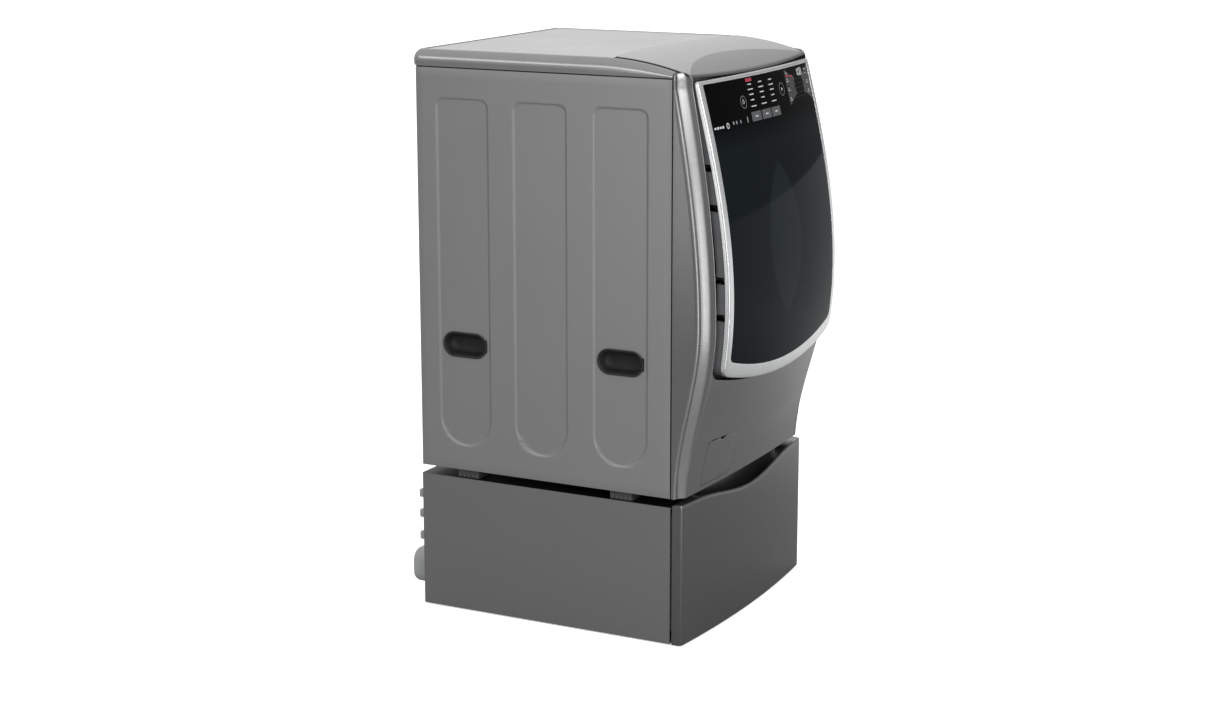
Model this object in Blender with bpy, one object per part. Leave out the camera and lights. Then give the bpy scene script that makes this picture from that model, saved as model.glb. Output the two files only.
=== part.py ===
"""Front load washing machine standing on a drawer pedestal that holds a small second washer.

Right-handed, metres, +Z up, the front faces -Y. The origin is at the middle of the footprint, on the
floor. Inside the functions y = 0 is the seam between the side panels and the front panel, and every
mesh is moved by SEAM_Y when it is made.
"""
import math

import bmesh
import bpy
import numpy as np

# Whole machine
WIDTH = 0.737
SEAM_Y = -0.3024
DEPTH = 0.7048
PEDESTAL_TOP = 0.352
CABINET_BOTTOM = 0.3734
SIDE_TOP = 1.3871
TOP = 1.4335
SHEET = 0.0022
RAIL_BACK = 0.012
GAP = 0.0006
HALF = WIDTH / 2

# Door
DOOR_HALF = 0.334
DOOR_TOP = 1.3814
DOOR_BOTTOM = 0.639
DOOR_SMILE = 0.045
DOOR_BULGE = 0.019
DOOR_PEAK_Z = 0.85
DOOR_PEAK = 0.1352
HINGE_X = -0.300
HINGE_Y = -0.1215
HINGE_Z = 0.825
HINGE_LEAN = 0.1097
HINGE_ARMS = ((0.825, 0.9145), (1.0865, 1.1805))
POCKET_GAP = 0.0075

# Drum group, on one level axis along Y
DRUM_Z = 0.905
TUB_R = 0.300
DRUM_R = 0.272
DRUM_FRONT = 0.085
DRUM_BACK = 0.545
MOUTH_R = 0.192

# Pedestal
DRAWER_TRAVEL = 0.42
MINI_X = 0.0
MINI_Y = 0.335
MINI_R = 0.205


# ---------------------------------------------------------------- shape formulas

def smooth(t):
    t = np.clip(t, 0.0, 1.0)
    return t * t * (3 - 2 * t)


def door_y(x, z):
    """The door's front face: a profile with its belly low down and a shallow plan curve."""
    t = np.asarray(z, float) - DOOR_PEAK_Z
    drop = 0.44 * t**2 + np.where(t > 0, -0.235, -0.15) * t**3
    return -(DOOR_PEAK - drop + DOOR_BULGE * (1 - (np.asarray(x) / DOOR_HALF) ** 2))


def corner_y(z):
    """How far forward of the seam the front panel's rounded corner stands."""
    z = np.asarray(z, float)
    above = 0.072 - 0.277 * (z - 0.8) ** 2 + 0.127 * (z - 0.8) ** 3
    below = 0.072 - 0.030 * (1 - np.cos(np.pi * (0.8 - z) / 0.427))
    return np.maximum(np.where(z > 0.8, above, below), 0.006)


def panel_rise(z):
    """How far the panel's face, beside the door, stands forward of its rounded corner."""
    return 0.015 + 0.0165 * np.clip((np.asarray(z, float) - CABINET_BOTTOM) / 0.27, 0, 1)


def lid_z(x, y):
    """The top's front part falls towards the door, a little faster in front of a curved crease."""
    crease = 0.055 - 0.10 * (np.asarray(x) / HALF) ** 2
    fall = 0.68 * np.maximum(0.0, 0.2 - np.asarray(y)) ** 2
    return TOP - fall - 0.015 * np.maximum(0.0, crease - np.asarray(y))


def seam_line(x):
    """The seam across the top, bowed to the rear."""
    return 0.165 + 0.036 * (1 - (np.asarray(x) / 0.345) ** 2)


def lid_front(x):
    return -(0.036 + DOOR_BULGE * (1 - (np.asarray(x) / DOOR_HALF) ** 2))


# ---------------------------------------------------------------- mesh helpers

def material(name, colour, roughness, metallic):
    made = bpy.data.materials.new(name)
    made.use_nodes = True
    shader = made.node_tree.nodes["Principled BSDF"]
    shader.inputs["Base Color"].default_value = (*colour, 1.0)
    shader.inputs["Roughness"].default_value = roughness
    shader.inputs["Metallic"].default_value = metallic
    return made


def solid(name, points, faces, smooth_shaded=False):
    """A mesh object from points in the seam frame, its normals made to face out."""
    mesh = bpy.data.meshes.new(name)
    moved = np.array(points, float) + (0.0, SEAM_Y, 0.0)
    mesh.from_pydata(moved.tolist(), [], [list(map(int, f)) for f in faces])
    bm = bmesh.new()
    bm.from_mesh(mesh)
    bmesh.ops.remove_doubles(bm, verts=bm.verts, dist=1e-6)
    bmesh.ops.recalc_face_normals(bm, faces=bm.faces)
    bm.to_mesh(mesh)
    bm.free()
    made = bpy.data.objects.new(name, mesh)
    bpy.context.scene.collection.objects.link(made)
    if smooth_shaded:
        mesh.polygons.foreach_set("use_smooth", [True] * len(mesh.polygons))
    return made


def box(name, x0, x1, y0, y1, z0, z1):
    points = [(x, y, z) for z in (z0, z1) for y in (y0, y1) for x in (x0, x1)]
    faces = [(0, 1, 3, 2), (4, 6, 7, 5), (0, 4, 5, 1), (2, 3, 7, 6), (0, 2, 6, 4), (1, 5, 7, 3)]
    return solid(name, points, faces)


def loops(name, rings, closed=False, caps=True, smooth_shaded=False):
    """A skin through rings of equally many points. closed joins the last ring to the first."""
    rings = [np.asarray(r, float) for r in rings]
    n = len(rings[0])
    count = len(rings)
    faces = []
    for k in range(count if closed else count - 1):
        a, b = k * n, ((k + 1) % count) * n
        faces += [(a + i, a + (i + 1) % n, b + (i + 1) % n, b + i) for i in range(n)]
    if caps and not closed:
        faces.append(tuple(range(n)))
        faces.append(tuple((count - 1) * n + i for i in range(n)))
    return solid(name, np.concatenate(rings), faces, smooth_shaded)


def on_axis(axis, centre, radius, along, n, start=0.0):
    """One circle of n points around an axis, at a distance along it."""
    angle = start + 2 * np.pi * np.arange(n) / n
    flat = {"x": (1, 2, 0), "y": (0, 2, 1), "z": (0, 1, 2)}[axis]
    ring = np.zeros((n, 3))
    ring[:, flat[0]] = radius * np.cos(angle)
    ring[:, flat[1]] = radius * np.sin(angle)
    ring[:, flat[2]] = along
    return ring + np.array(centre)


def lathe(name, axis, centre, profile, n=32, closed=True):
    """A turned piece. profile lists (radius, distance along the axis); closed makes a hollow ring."""
    rings = [on_axis(axis, centre, r, a, n) for r, a in profile]
    return loops(name, rings, closed=closed, caps=not closed, smooth_shaded=False)


def rod(name, axis, centre, radius, a, b, n=24):
    return lathe(name, axis, centre, [(radius, a), (radius, b)], n, closed=False)


def prism(name, outline, axis, a, b):
    """An outline of (u, v) points drawn out along an axis from a to b."""
    flat = {"x": (1, 2, 0), "y": (0, 2, 1), "z": (0, 1, 2)}[axis]
    rings = []
    for along in (a, b):
        ring = np.zeros((len(outline), 3))
        ring[:, flat[0]] = [p[0] for p in outline]
        ring[:, flat[1]] = [p[1] for p in outline]
        ring[:, flat[2]] = along
        rings.append(ring)
    return loops(name, rings)


def rounded(u0, u1, v0, v1, radius, steps=4):
    """A rectangle with round corners, as (u, v) points."""
    points = []
    for cu, cv, turn in ((u1, v1, 0), (u0, v1, 1), (u0, v0, 2), (u1, v0, 3)):
        mu = cu - math.copysign(radius, cu - u0 - (u1 - u0) / 2)
        mv = cv - math.copysign(radius, cv - v0 - (v1 - v0) / 2)
        for k in range(steps + 1):
            angle = math.pi / 2 * (turn + k / steps)
            points.append((mu + radius * math.cos(angle), mv + radius * math.sin(angle)))
    return points


def swept(name, path, radius, n=8, ends=True):
    """A round bar along a path."""
    path = np.asarray(path, float)
    ahead = np.gradient(path, axis=0)
    ahead /= np.linalg.norm(ahead, axis=1)[:, None]
    side = np.cross(ahead, (0.31, 0.17, 0.93))
    side /= np.linalg.norm(side, axis=1)[:, None]
    up = np.cross(side, ahead)
    angle = 2 * np.pi * np.arange(n) / n
    rings = [
        p + radius * (np.cos(angle)[:, None] * s + np.sin(angle)[:, None] * u)
        for p, s, u in zip(path, side, up)
    ]
    return loops(name, rings, caps=ends, smooth_shaded=False)


def combine(target, other, operation):
    """Cuts other from target, or joins it on, and removes other."""
    modifier = target.modifiers.new("shape", "BOOLEAN")
    modifier.operation = operation
    modifier.solver = "EXACT"
    modifier.object = other
    graph = bpy.context.evaluated_depsgraph_get()
    graph.update()
    result = bpy.data.meshes.new_from_object(target.evaluated_get(graph))
    target.modifiers.clear()
    old = target.data
    target.data = result
    bpy.data.meshes.remove(old)
    spent = other.data
    bpy.data.objects.remove(other)
    bpy.data.meshes.remove(spent)
    return target


def cut(target, *others):
    for other in others:
        combine(target, other, "DIFFERENCE")
    return target


def join(target, *others):
    for other in others:
        combine(target, other, "UNION")
    return target


def dress(paint, *objects):
    for made in objects:
        made.data.materials.clear()
        made.data.materials.append(paint)


# ---------------------------------------------------------------- door

def door_outline(inset, corner=0.024, top_corner=0.006):
    """(x, z) points round the door, inset from its edge, starting at the lower left corner."""
    half = DOOR_HALF - inset
    low = DOOR_BOTTOM + DOOR_SMILE + inset
    high = DOOR_TOP - min(inset, 0.010 + 0.45 * max(0.0, inset - 0.010))
    corner = max(0.010, corner - 0.4 * inset)
    points = []
    for k in range(5):
        angle = math.pi + math.pi / 2 * k / 4
        points.append((-half + corner + corner * math.cos(angle), low + corner + corner * math.sin(angle)))
    for k in range(1, 12):
        x = (-1 + 2 * k / 12) * (half - corner)
        points.append((x, low))
    for k in range(5):
        angle = 1.5 * math.pi + math.pi / 2 * k / 4
        points.append((half - corner + corner * math.cos(angle), low + corner + corner * math.sin(angle)))
    for k in range(1, 11):
        points.append((half, low + corner + (high - top_corner - low - corner) * k / 11))
    points += [(half, high - top_corner), (half - top_corner, high)]
    for k in range(1, 8):
        points.append(((1 - 2 * k / 8) * (half - top_corner), high))
    points += [(-half + top_corner, high), (-half, high - top_corner)]
    for k in range(1, 11):
        points.append((-half, high - top_corner - (high - top_corner - low - corner) * k / 11))
    points = np.array(points)
    # The lower edge hangs in a shallow curve, which dies out up the sides.
    hang = DOOR_SMILE * (1 - (points[:, 0] / half) ** 2) * smooth((low + 0.03 - points[:, 1]) / 0.03)
    points[:, 1] -= hang
    return points


def door_ring(inset, back):
    """The outline as a ring of points, back behind the door's front face."""
    flat = door_outline(inset)
    y = door_y(flat[:, 0], flat[:, 1]) + back
    return np.stack([flat[:, 0], y, flat[:, 1]], -1)


def door_skin(name, inset, front, back):
    """A curved plate filling the outline, between two depths behind the door's face."""
    flat = door_outline(inset)
    middle = np.array([0.0, 1.03])
    shares = (1.0, 0.68, 0.36, 0.03)

    def ring(share, depth):
        at = middle + (flat - middle) * share
        return np.stack([at[:, 0], door_y(at[:, 0], at[:, 1]) + depth, at[:, 1]], -1)

    rings = [ring(s, front) for s in reversed(shares)] + [ring(s, back) for s in shares]
    return loops(name, rings)


def make_door(paints):
    trim = loops(
        "door_trim",
        [
            door_ring(0.0, 0.012), door_ring(0.0, 0.004), door_ring(0.004, 0.0), door_ring(0.0215, 0.001),
            door_ring(0.0215, 0.012),
        ],
        closed=True,
    )
    glass = door_skin("door_glass", 0.0222, 0.0012, 0.0060)
    outer = door_ring(0.003, 0.0)
    turn = np.arctan2(outer[:, 2] - DRUM_Z, outer[:, 0])

    def mouth(radius, depth):
        x, z = radius * np.cos(turn), DRUM_Z + radius * np.sin(turn)
        return np.stack([x, 0 * x + float(door_y(0, DRUM_Z)) + depth, z], -1)

    shell = loops(
        "door_shell",
        [
            door_ring(0.003, 0.0124), door_ring(0.003, 0.034), door_ring(0.006, 0.037), mouth(0.196, 0.058),
            mouth(0.186, 0.058), mouth(0.186, 0.052), door_ring(0.009, 0.0310), door_ring(0.009, 0.0124),
        ],
        closed=True,
    )
    for low, high in HINGE_ARMS:
        join(shell, knuckle(low, high))
        for z in (low, high):
            y = float(door_y(DOOR_HALF, z))
            cut(shell, box("slot", -0.345, -0.2940, y + 0.0130, y + 0.0620, z - 0.0088, z + 0.0088))
    depth = float(door_y(0, DRUM_Z))
    bowl = lathe(
        "door_bowl", "y", (0, 0, DRUM_Z),
        [
            (0.1845, depth + 0.0540), (0.1845, depth + 0.060), (0.176, depth + 0.070), (0.160, depth + 0.175),
            (0.145, depth + 0.190), (0.004, depth + 0.200), (0.004, depth + 0.194), (0.155, depth + 0.172),
            (0.170, depth + 0.067), (0.176, depth + 0.0540),
        ],
        36,
    )
    board_z = 1.316
    board = loops(
        "touch_board",
        [
            [
                (x, float(door_y(x, z)) + d, z)
                for x, z in ((-0.29, 1.262), (0, 1.262), (0.29, 1.262), (0.29, board_z + 0.047), (0, board_z + 0.047),
                             (-0.29, board_z + 0.047))
            ]
            for d in (0.0080, 0.0106)
        ],
    )
    hook_y = float(door_y(0.300, DRUM_Z))
    hook = box("door_latch", 0.268, 0.290, hook_y + 0.0450, hook_y + 0.0710, DRUM_Z - 0.014, DRUM_Z + 0.014)
    cut(hook, box("eye", 0.260, 0.281, hook_y + 0.0560, hook_y + 0.0640, DRUM_Z - 0.008, DRUM_Z + 0.008))
    dress(paints["silver"], trim)
    dress(paints["smoked"], glass)
    dress(paints["grey"], shell)
    dress(paints["clear"], bowl)
    dress(paints["board"], board)
    dress(paints["steel"], hook)


def pin_y(z):
    """The pin line of the door leans back with the door, so both hinges share one straight axis."""
    return HINGE_Y + HINGE_LEAN * (z - HINGE_Z)


def knuckle(low, high):
    """A block inside the door's edge, between the two arms of a hinge, bored for its pin."""
    rings = []
    for z in np.linspace(low + 0.012, high - 0.012, 4):
        y = pin_y(z)
        behind = max(y - 0.0054, float(door_y(DOOR_HALF, z)) + 0.0130)
        rings.append([(-0.3290, behind, z), (-0.3112, behind, z), (-0.3112, y - 0.0055, z), (-0.2945, y - 0.0055, z),
                      (-0.2945, y + 0.0060, z), (-0.3290, y + 0.0060, z)])
    ends = (low - 0.01, high + 0.01)
    return cut(loops("knuckle", rings), swept("bore", [(HINGE_X, pin_y(z), z) for z in ends], 0.0033, 12))


def make_hinges(paints):
    """Two fixed hinges: a leaf let into the door pocket and two arms that hold the pin."""
    for name, (low, high) in zip(("hinge_lower", "hinge_upper"), HINGE_ARMS):
        rings = []
        for z in np.linspace(low - 0.022, high + 0.022, 5):
            y = pocket_y(z)
            rings.append([(-0.312, y - 0.0004, z), (-0.288, y - 0.0004, z), (-0.288, y + 0.0030, z),
                          (-0.312, y + 0.0030, z)])
        leaf = loops(name, rings)
        for z in (low, high):
            join(leaf, box("arm", HINGE_X - 0.0016, HINGE_X + 0.0016, pin_y(z), pocket_y(z) + 0.0010, z - 0.0045,
                           z + 0.0045))
            join(leaf, rod("barrel", "z", (HINGE_X, pin_y(z), 0), 0.0040, z - 0.0045, z + 0.0045, 16))
        join(leaf, swept("pin", [(HINGE_X, pin_y(z), z) for z in (low - 0.004, high + 0.004)], 0.0024, 12))
        dress(paints["zinc"], leaf)


# ---------------------------------------------------------------- cabinet

def panel_section(z, inward):
    """The front panel in plan at one height, from the left seam to the right one, as (x, y) points."""
    p = float(corner_y(z))
    e = float(panel_rise(z))
    r = min(0.012, 0.7 * p)
    bulge = 0.0101 + 0.0089 * float(smooth((z - CABINET_BOTTOM) / 0.27))
    side = [(-HALF, 0.0), (-HALF, -(p - r))]
    for k in range(1, 4):
        angle = math.pi / 2 * k / 4
        side.append((-HALF + 0.010 * (1 - math.cos(angle)), -(p - r + r * math.sin(angle))))
    side += [(-0.3585, -p - 0.0003), (-0.3432, -p - min(e, 0.019) * 0.97), (-0.3425, -p - e)]
    face = [
        (x, -p - e - bulge * (1 - (x / 0.3425) ** 2)) for x in np.linspace(-0.3380, 0.3380, 11)
    ]
    points = np.array(side + face + [(-x, y) for x, y in reversed(side)])
    along = np.gradient(points, axis=0)
    along /= np.linalg.norm(along, axis=1)[:, None]
    normal = np.stack([-along[:, 1], along[:, 0]], -1)
    normal *= np.sign(normal[len(points) // 2, 1])
    moved = points + inward * normal
    if inward:
        moved[0] = (-HALF + inward, 0.0)
        moved[-1] = (HALF - inward, 0.0)
        order = np.minimum(np.arange(len(moved)), np.arange(len(moved))[::-1])
        moved[:, 1] = np.minimum(moved[:, 1], -0.0004 * order)
        moved[:, 0] = np.clip(moved[:, 0], -HALF + inward, HALF - inward)
    return moved


def column_cap(sign):
    """The rounded head of a column, which carries the line of the top rail over to the front."""
    rings = []
    for z, out, inner, front in ((1.378, 0.3678, 0.3460, 0.0200), (1.390, 0.3672, 0.3462, 0.0190),
                                 (1.3985, 0.3645, 0.3462, 0.0155), (1.4030, 0.3600, 0.3470, 0.0100),
                                 (1.4045, 0.3560, 0.3490, 0.0070)):
        x = np.array([out, out, out - 0.004, 0.5 * (out + inner), inner, inner])
        y = np.array([0.0008, 0.25 * front, 0.42 * front, 0.72 * front, front, 0.0008])
        rings.append(np.column_stack([sign * x, -y, np.full(6, z)]))
    return loops("cap", rings)


def make_front_panel(paints):
    heights = list(np.linspace(CABINET_BOTTOM, 0.68, 8)) + list(np.linspace(0.68, 1.384, 9))[1:]
    rings = []
    for z in heights:
        outer = panel_section(z, 0.0)
        inner = panel_section(z, SHEET)
        ring = np.concatenate([outer, inner[::-1]])
        rings.append(np.column_stack([ring, np.full(len(ring), z)]))
    panel = loops("front_panel", rings)
    shape = door_outline(-POCKET_GAP)
    shape[:, 1] = np.where(shape[:, 1] > 1.2, shape[:, 1] + 0.10, shape[:, 1])
    cut(panel, prism("opening", shape, "y", -0.30, 0.0 - 0.0004))
    flap = prism("flap_hole", rounded(-0.2678, -0.1102, 0.3837, 0.4963, 0.012), "y", -0.2, -0.001)
    cut(panel, flap)
    for sign in (-1, 1):
        join(panel, column_cap(sign))
    dress(paints["brushed"], panel)


def pocket_y(z):
    """Front of the plate behind the door, set further back towards its head."""
    return -float(corner_y(z)) + 0.004 + 0.008 * float(smooth((z - 1.20) / 0.16))


def make_bulkhead(paints):
    """The pocket behind the door: a curved plate with a round mouth."""
    heights = np.linspace(0.632, 1.370, 12)
    xs = np.linspace(-0.3375, 0.3375, 7)
    rings = []
    for z in heights:
        y = pocket_y(z)
        front = [(x, y, z) for x in xs]
        back = [(x, y + SHEET, z) for x in reversed(xs)]
        rings.append(front + back)
    plate = loops("door_pocket", rings)
    cut(plate, rod("mouth", "y", (0, 0, DRUM_Z), 0.213, -0.2, 0.1, 36))
    cut(plate, box("lock_hole", 0.262, 0.2935, -0.2, 0.1, DRUM_Z - 0.020, DRUM_Z + 0.018))
    for low, high in HINGE_ARMS:
        cut(plate, box("seat", -0.3126, -0.2874, -0.2, 0.1, low - 0.0226, high + 0.0226))
    dress(paints["grey"], plate)
    wall = pocket_y(DRUM_Z)
    lock = box("door_lock", 0.252, 0.302, wall + 0.0070, wall + 0.048, DRUM_Z - 0.05, DRUM_Z + 0.05)
    cut(lock, box("eye", 0.262, 0.2935, -0.2, wall + 0.030, DRUM_Z - 0.020, DRUM_Z + 0.018))
    dress(paints["black"], lock)


def column_outline(middle):
    """One pressed column on a side panel: round corners at the top and a half-round foot."""
    points = rounded(middle - 0.072, middle + 0.072, 0.60, 1.313, 0.020)[:10]
    for k in range(0, 9):
        angle = math.pi + math.pi * k / 8
        points.append((middle + 0.072 * math.cos(angle), 0.510 + 0.072 * math.sin(angle)))
    return points


def make_side(name, sign, paints):
    outer, inner = sign * HALF, sign * (HALF - SHEET)
    panel = box(name, min(outer, inner), max(outer, inner), 0.0015, DEPTH, CABINET_BOTTOM, SIDE_TOP)
    for middle in (0.138, 0.357, 0.574):
        cut(panel, prism("column", column_outline(middle), "x", sign * (HALF - 0.0009), sign * (HALF + 0.01)))
    for middle in (0.138, 0.574):
        hole = rounded(middle - 0.0585, middle + 0.0585, 0.670, 0.726, 0.0275)
        cut(panel, prism("hole", hole, "x", sign * (HALF - 0.02), sign * (HALF + 0.02)))
    flange = sign * (HALF - 0.022)
    join(
        panel,
        box("lip", min(flange, inner + sign * 0.001), max(flange, inner + sign * 0.001), 0.0015, 0.0037,
            CABINET_BOTTOM + 0.0, SIDE_TOP),
    )
    dress(paints["sheet"], panel)
    for where, middle in (("front", 0.138), ("rear", 0.574)):
        cup = cup_of(f"lift_cup_{'left' if sign < 0 else 'right'}_{where}", sign, middle)
        dress(paints["dark"], cup)


def cup_of(name, sign, middle):
    """A pressed cup set in a side panel, open to the side."""
    def ring(grow, depth):
        shape = rounded(middle - 0.0578 - grow, middle + 0.0578 + grow, 0.6707 - grow, 0.7253 + grow, 0.0272 + grow)
        return [(sign * (HALF - depth), y, z) for y, z in shape]

    outside = [ring(0.0, -0.0006), ring(0.0, 0.004), ring(-0.009, 0.034)]
    cup = loops(name, outside)
    hollow = loops("hollow", [ring(-0.0115, 0.0315), ring(-0.0025, 0.003), ring(-0.0022, -0.010)])
    return cut(cup, hollow)


def make_cabinet(paints):
    for name, sign in (("side_panel_left", -1), ("side_panel_right", 1)):
        make_side(name, sign, paints)
    inner = HALF - SHEET - GAP
    rear = box("rear_panel", -inner, inner, DEPTH - SHEET, DEPTH, CABINET_BOTTOM + 0.014, SIDE_TOP - 0.002)
    cut(rear, rod("service_hole", "y", (0, 0, DRUM_Z), 0.205, DEPTH - 0.05, DEPTH + 0.05, 28))
    join(rear, box("mains", -0.205, -0.160, DEPTH - 0.03, DEPTH + 0.004, 1.295, 1.340))
    cut(rear, box("socket", -0.197, -0.168, DEPTH - 0.020, DEPTH + 0.02, 1.303, 1.332))
    cut(rear, box("valve_hole", 0.19, 0.29, DEPTH - 0.05, DEPTH + 0.05, 1.305, 1.345))
    for level in (1.10, 0.70):
        for side in (-1, 1):
            band = rounded(side * 0.285 - 0.045, side * 0.285 + 0.045, level - 0.14, level + 0.14, 0.03)
            cut(rear, prism("pressing", band, "y", DEPTH - 0.0008, DEPTH + 0.02))
    cover = lathe(
        "service_cover", "y", (0, 0, DRUM_Z),
        [(0.004, DEPTH + 0.0090), (0.17, DEPTH + 0.0090), (0.198, DEPTH + 0.0004), (0.218, DEPTH + 0.0004),
         (0.218, DEPTH + 0.0022), (0.200, DEPTH + 0.0022), (0.172, DEPTH + 0.0110), (0.004, DEPTH + 0.0110)],
        28,
    )
    base = box("base_frame", -inner, inner, 0.006, DEPTH - 0.001, CABINET_BOTTOM, CABINET_BOTTOM + 0.012)
    cut(base, box("middle", -inner + 0.045, inner - 0.045, 0.055, DEPTH - 0.05, 0.3, 0.5))
    dress(paints["sheet"], rear, cover)
    dress(paints["zinc"], base)


def rail_section(x_out, drop):
    """The rounded top rail in section: (distance in from the side, height)."""
    high = TOP - 0.0025 - drop
    low = SIDE_TOP + 0.0034
    tall = high - low
    points = [(-0.0030, low), (-0.0045, low + 0.25 * tall)]
    for k in range(1, 6):
        angle = math.pi / 2 * k / 5
        points.append((-0.0045 + 0.0245 * (1 - math.cos(angle)), low + 0.25 * tall + 0.75 * tall * math.sin(angle)))
    points += [(0.0228, high - 0.002), (0.0228, low)]
    return points


def make_top(paints):
    stations = []
    for y in (0.0006, 0.02, 0.05, 0.09, 0.14, 0.20, 0.45):
        stations.append(((-HALF, y), (1, 0), 0.72 * max(0.0, 0.2 - y) ** 2))
    back = DEPTH + RAIL_BACK
    stations.append(((-HALF, back - 0.030), (1, -0.15), 0.0))
    stations.append(((-HALF + 0.009, back - 0.009), (0.75, -0.75), 0.0))
    stations.append(((-HALF + 0.030, back), (0.15, -1), 0.0))
    stations += [((-x, y), (-ix, iy), drop) for (x, y), (ix, iy), drop in reversed(stations[-3:])]
    stations += [((HALF, s[0][1]), (-1, 0), s[2]) for s in reversed(stations[:7])]
    rings = []
    for (x, y), (ix, iy), drop in stations:
        rings.append([(x + ix * d, y + iy * d, z) for d, z in rail_section(x, drop)])
    rail = loops("top_rail", rings)
    dress(paints["silver_dark"], rail)

    def plate(name, front, back, height, thick, steps):
        xs = np.linspace(-0.3452, 0.3452, 13)
        rings_ = []
        for share in np.linspace(0, 1, steps):
            ys = front(xs) + (back(xs) - front(xs)) * share
            upper = [(x, y, float(height(x, y))) for x, y in zip(xs, ys)]
            lower = [(x, y, float(height(x, y)) - thick) for x, y in zip(xs[::-1], ys[::-1])]
            rings_.append(upper + lower)
        return loops(name, rings_)

    def inset_back(x):
        return DEPTH + RAIL_BACK - 0.0240 - 0.0115 * (np.abs(x) / 0.3452) ** 10

    inset = plate("top_panel", lambda x: seam_line(x) + 0.0015, inset_back, lambda x, y: TOP - 0.004, 0.010, 3)
    dress(paints["inset"], inset)
    lid = plate("dispenser_lid", lid_front, lambda x: seam_line(x) - 0.0015, lid_z, 0.0035, 8)
    dress(paints["silver_dark"], lid)
    tray = box("detergent_tray", -0.29, 0.29, 0.012, 0.135, 1.315, 1.3885)
    for x0, x1 in ((-0.286, -0.10), (-0.096, 0.09), (0.094, 0.286)):
        cut(tray, box("cup", x0, x1, 0.016, 0.131, 1.320, 1.41))
    dress(paints["white"], tray)
    board = box("control_board", -0.30, -0.06, 0.52, 0.66, 1.345, 1.385)
    dress(paints["black"], board)
    valve = box("inlet_valve", 0.20, 0.28, DEPTH - 0.075, DEPTH - 0.004, 1.310, 1.340)
    for x in (0.218, 0.262):
        join(valve, rod("thread", "y", (x, 0, 1.325), 0.0125, DEPTH - 0.010, DEPTH + 0.016, 16))
    dress(paints["white"], valve)


# ---------------------------------------------------------------- tub, drum and drive

def make_drum(paints):
    centre = (0, 0, DRUM_Z)
    rear = lathe(
        "tub_rear", "y", centre,
        [(TUB_R, 0.300), (TUB_R, 0.575), (0.285, 0.590), (0.060, 0.590), (0.060, 0.645), (0.0156, 0.645),
         (0.0156, 0.583), (0.280, 0.583), (TUB_R - 0.005, 0.572), (TUB_R - 0.005, 0.300)],
        36,
    )
    front = lathe(
        "tub_front", "y", centre,
        [(TUB_R, 0.2994), (TUB_R, 0.066), (0.215, 0.052), (0.215, 0.028), (0.209, 0.028), (0.209, 0.057),
         (TUB_R - 0.005, 0.071), (TUB_R - 0.005, 0.2994)],
        36,
    )
    wall = pocket_y(DRUM_Z)
    gasket = lathe(
        "boot_gasket", "y", centre,
        [(0.2110, wall - 0.006), (0.2110, wall + 0.012), (0.199, -0.012), (0.2085, 0.006), (0.2085, 0.050),
         (0.2030, 0.050), (0.2030, 0.010), (0.1925, -0.012), (0.204, wall + 0.012), (0.204, wall - 0.006)],
        36,
    )
    drum = lathe(
        "drum", "y", centre,
        [(DRUM_R, DRUM_FRONT + 0.02), (DRUM_R, DRUM_BACK), (0.020, DRUM_BACK), (0.020, DRUM_BACK - 0.003),
         (DRUM_R - 0.003, DRUM_BACK - 0.003), (DRUM_R - 0.003, DRUM_FRONT + 0.022), (MOUTH_R + 0.014, DRUM_FRONT - 0.006),
         (MOUTH_R + 0.014, DRUM_FRONT - 0.010)],
        40,
    )
    dress(paints["tub"], rear, front)
    dress(paints["rubber"], gasket)
    for k in range(3):
        angle = math.pi / 2 + 2 * math.pi * k / 3
        out = np.array([math.cos(angle), math.sin(angle)])
        side = np.array([-out[1], out[0]])
        rings = []
        for y, tall in ((0.115, 0.020), (0.150, 0.052), (0.480, 0.052), (0.525, 0.020)):
            low = DRUM_R - 0.0045
            ring = []
            for w, h in ((-0.040, 0.0), (-0.010, tall), (0.010, tall), (0.040, 0.0)):
                at = out * (low - h) + side * w
                ring.append((at[0], y, DRUM_Z + at[1]))
            rings.append(ring)
        join(drum, loops("lifter", rings))
    dress(paints["steel"], drum)
    spider = lathe(
        "spider_shaft", "y", centre,
        [(0.0002, DRUM_BACK + 0.0006), (0.050, DRUM_BACK + 0.0006), (0.050, DRUM_BACK + 0.020), (0.0150, DRUM_BACK + 0.030),
         (0.0150, 0.684), (0.0002, 0.684)],
        24, closed=False,
    )
    for k in range(3):
        angle = math.pi / 2 + 2 * math.pi * k / 3 + math.pi / 3
        out = np.array([math.cos(angle), math.sin(angle)])
        side = np.array([-out[1], out[0]])
        rings = []
        for r, deep in ((0.03, 0.024), (0.262, 0.010)):
            ring = []
            for w, y in ((-0.016, 0.0), (0.016, 0.0), (0.016, deep), (-0.016, deep)):
                at = out * r + side * w
                ring.append((at[0], DRUM_BACK + 0.0007 + y, DRUM_Z + at[1]))
            rings.append(ring)
        join(spider, loops("arm", rings))
    dress(paints["cast"], spider)
    stator = lathe(
        "stator", "y", centre,
        [(0.130, 0.6120), (0.130, 0.6400), (0.062, 0.6400), (0.062, 0.5906), (0.080, 0.5906), (0.080, 0.6120)], 36,
    )
    rotor = lathe(
        "rotor", "y", centre,
        [(0.142, 0.6060), (0.142, 0.6560), (0.0154, 0.6600), (0.0154, 0.6500), (0.136, 0.6480), (0.136, 0.6060)], 36,
    )
    dress(paints["copper"], stator)
    dress(paints["dark"], rotor)


def arc_block(name, inner, outer, y0, y1, start, end, steps=12):
    rings = []
    for k in range(steps + 1):
        angle = math.radians(start + (end - start) * k / steps)
        c, s = math.cos(angle), math.sin(angle)
        rings.append([(r * c, y, DRUM_Z + r * s) for r, y in ((inner, y0), (outer, y0), (outer, y1), (inner, y1))])
    return loops(name, rings)


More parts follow.
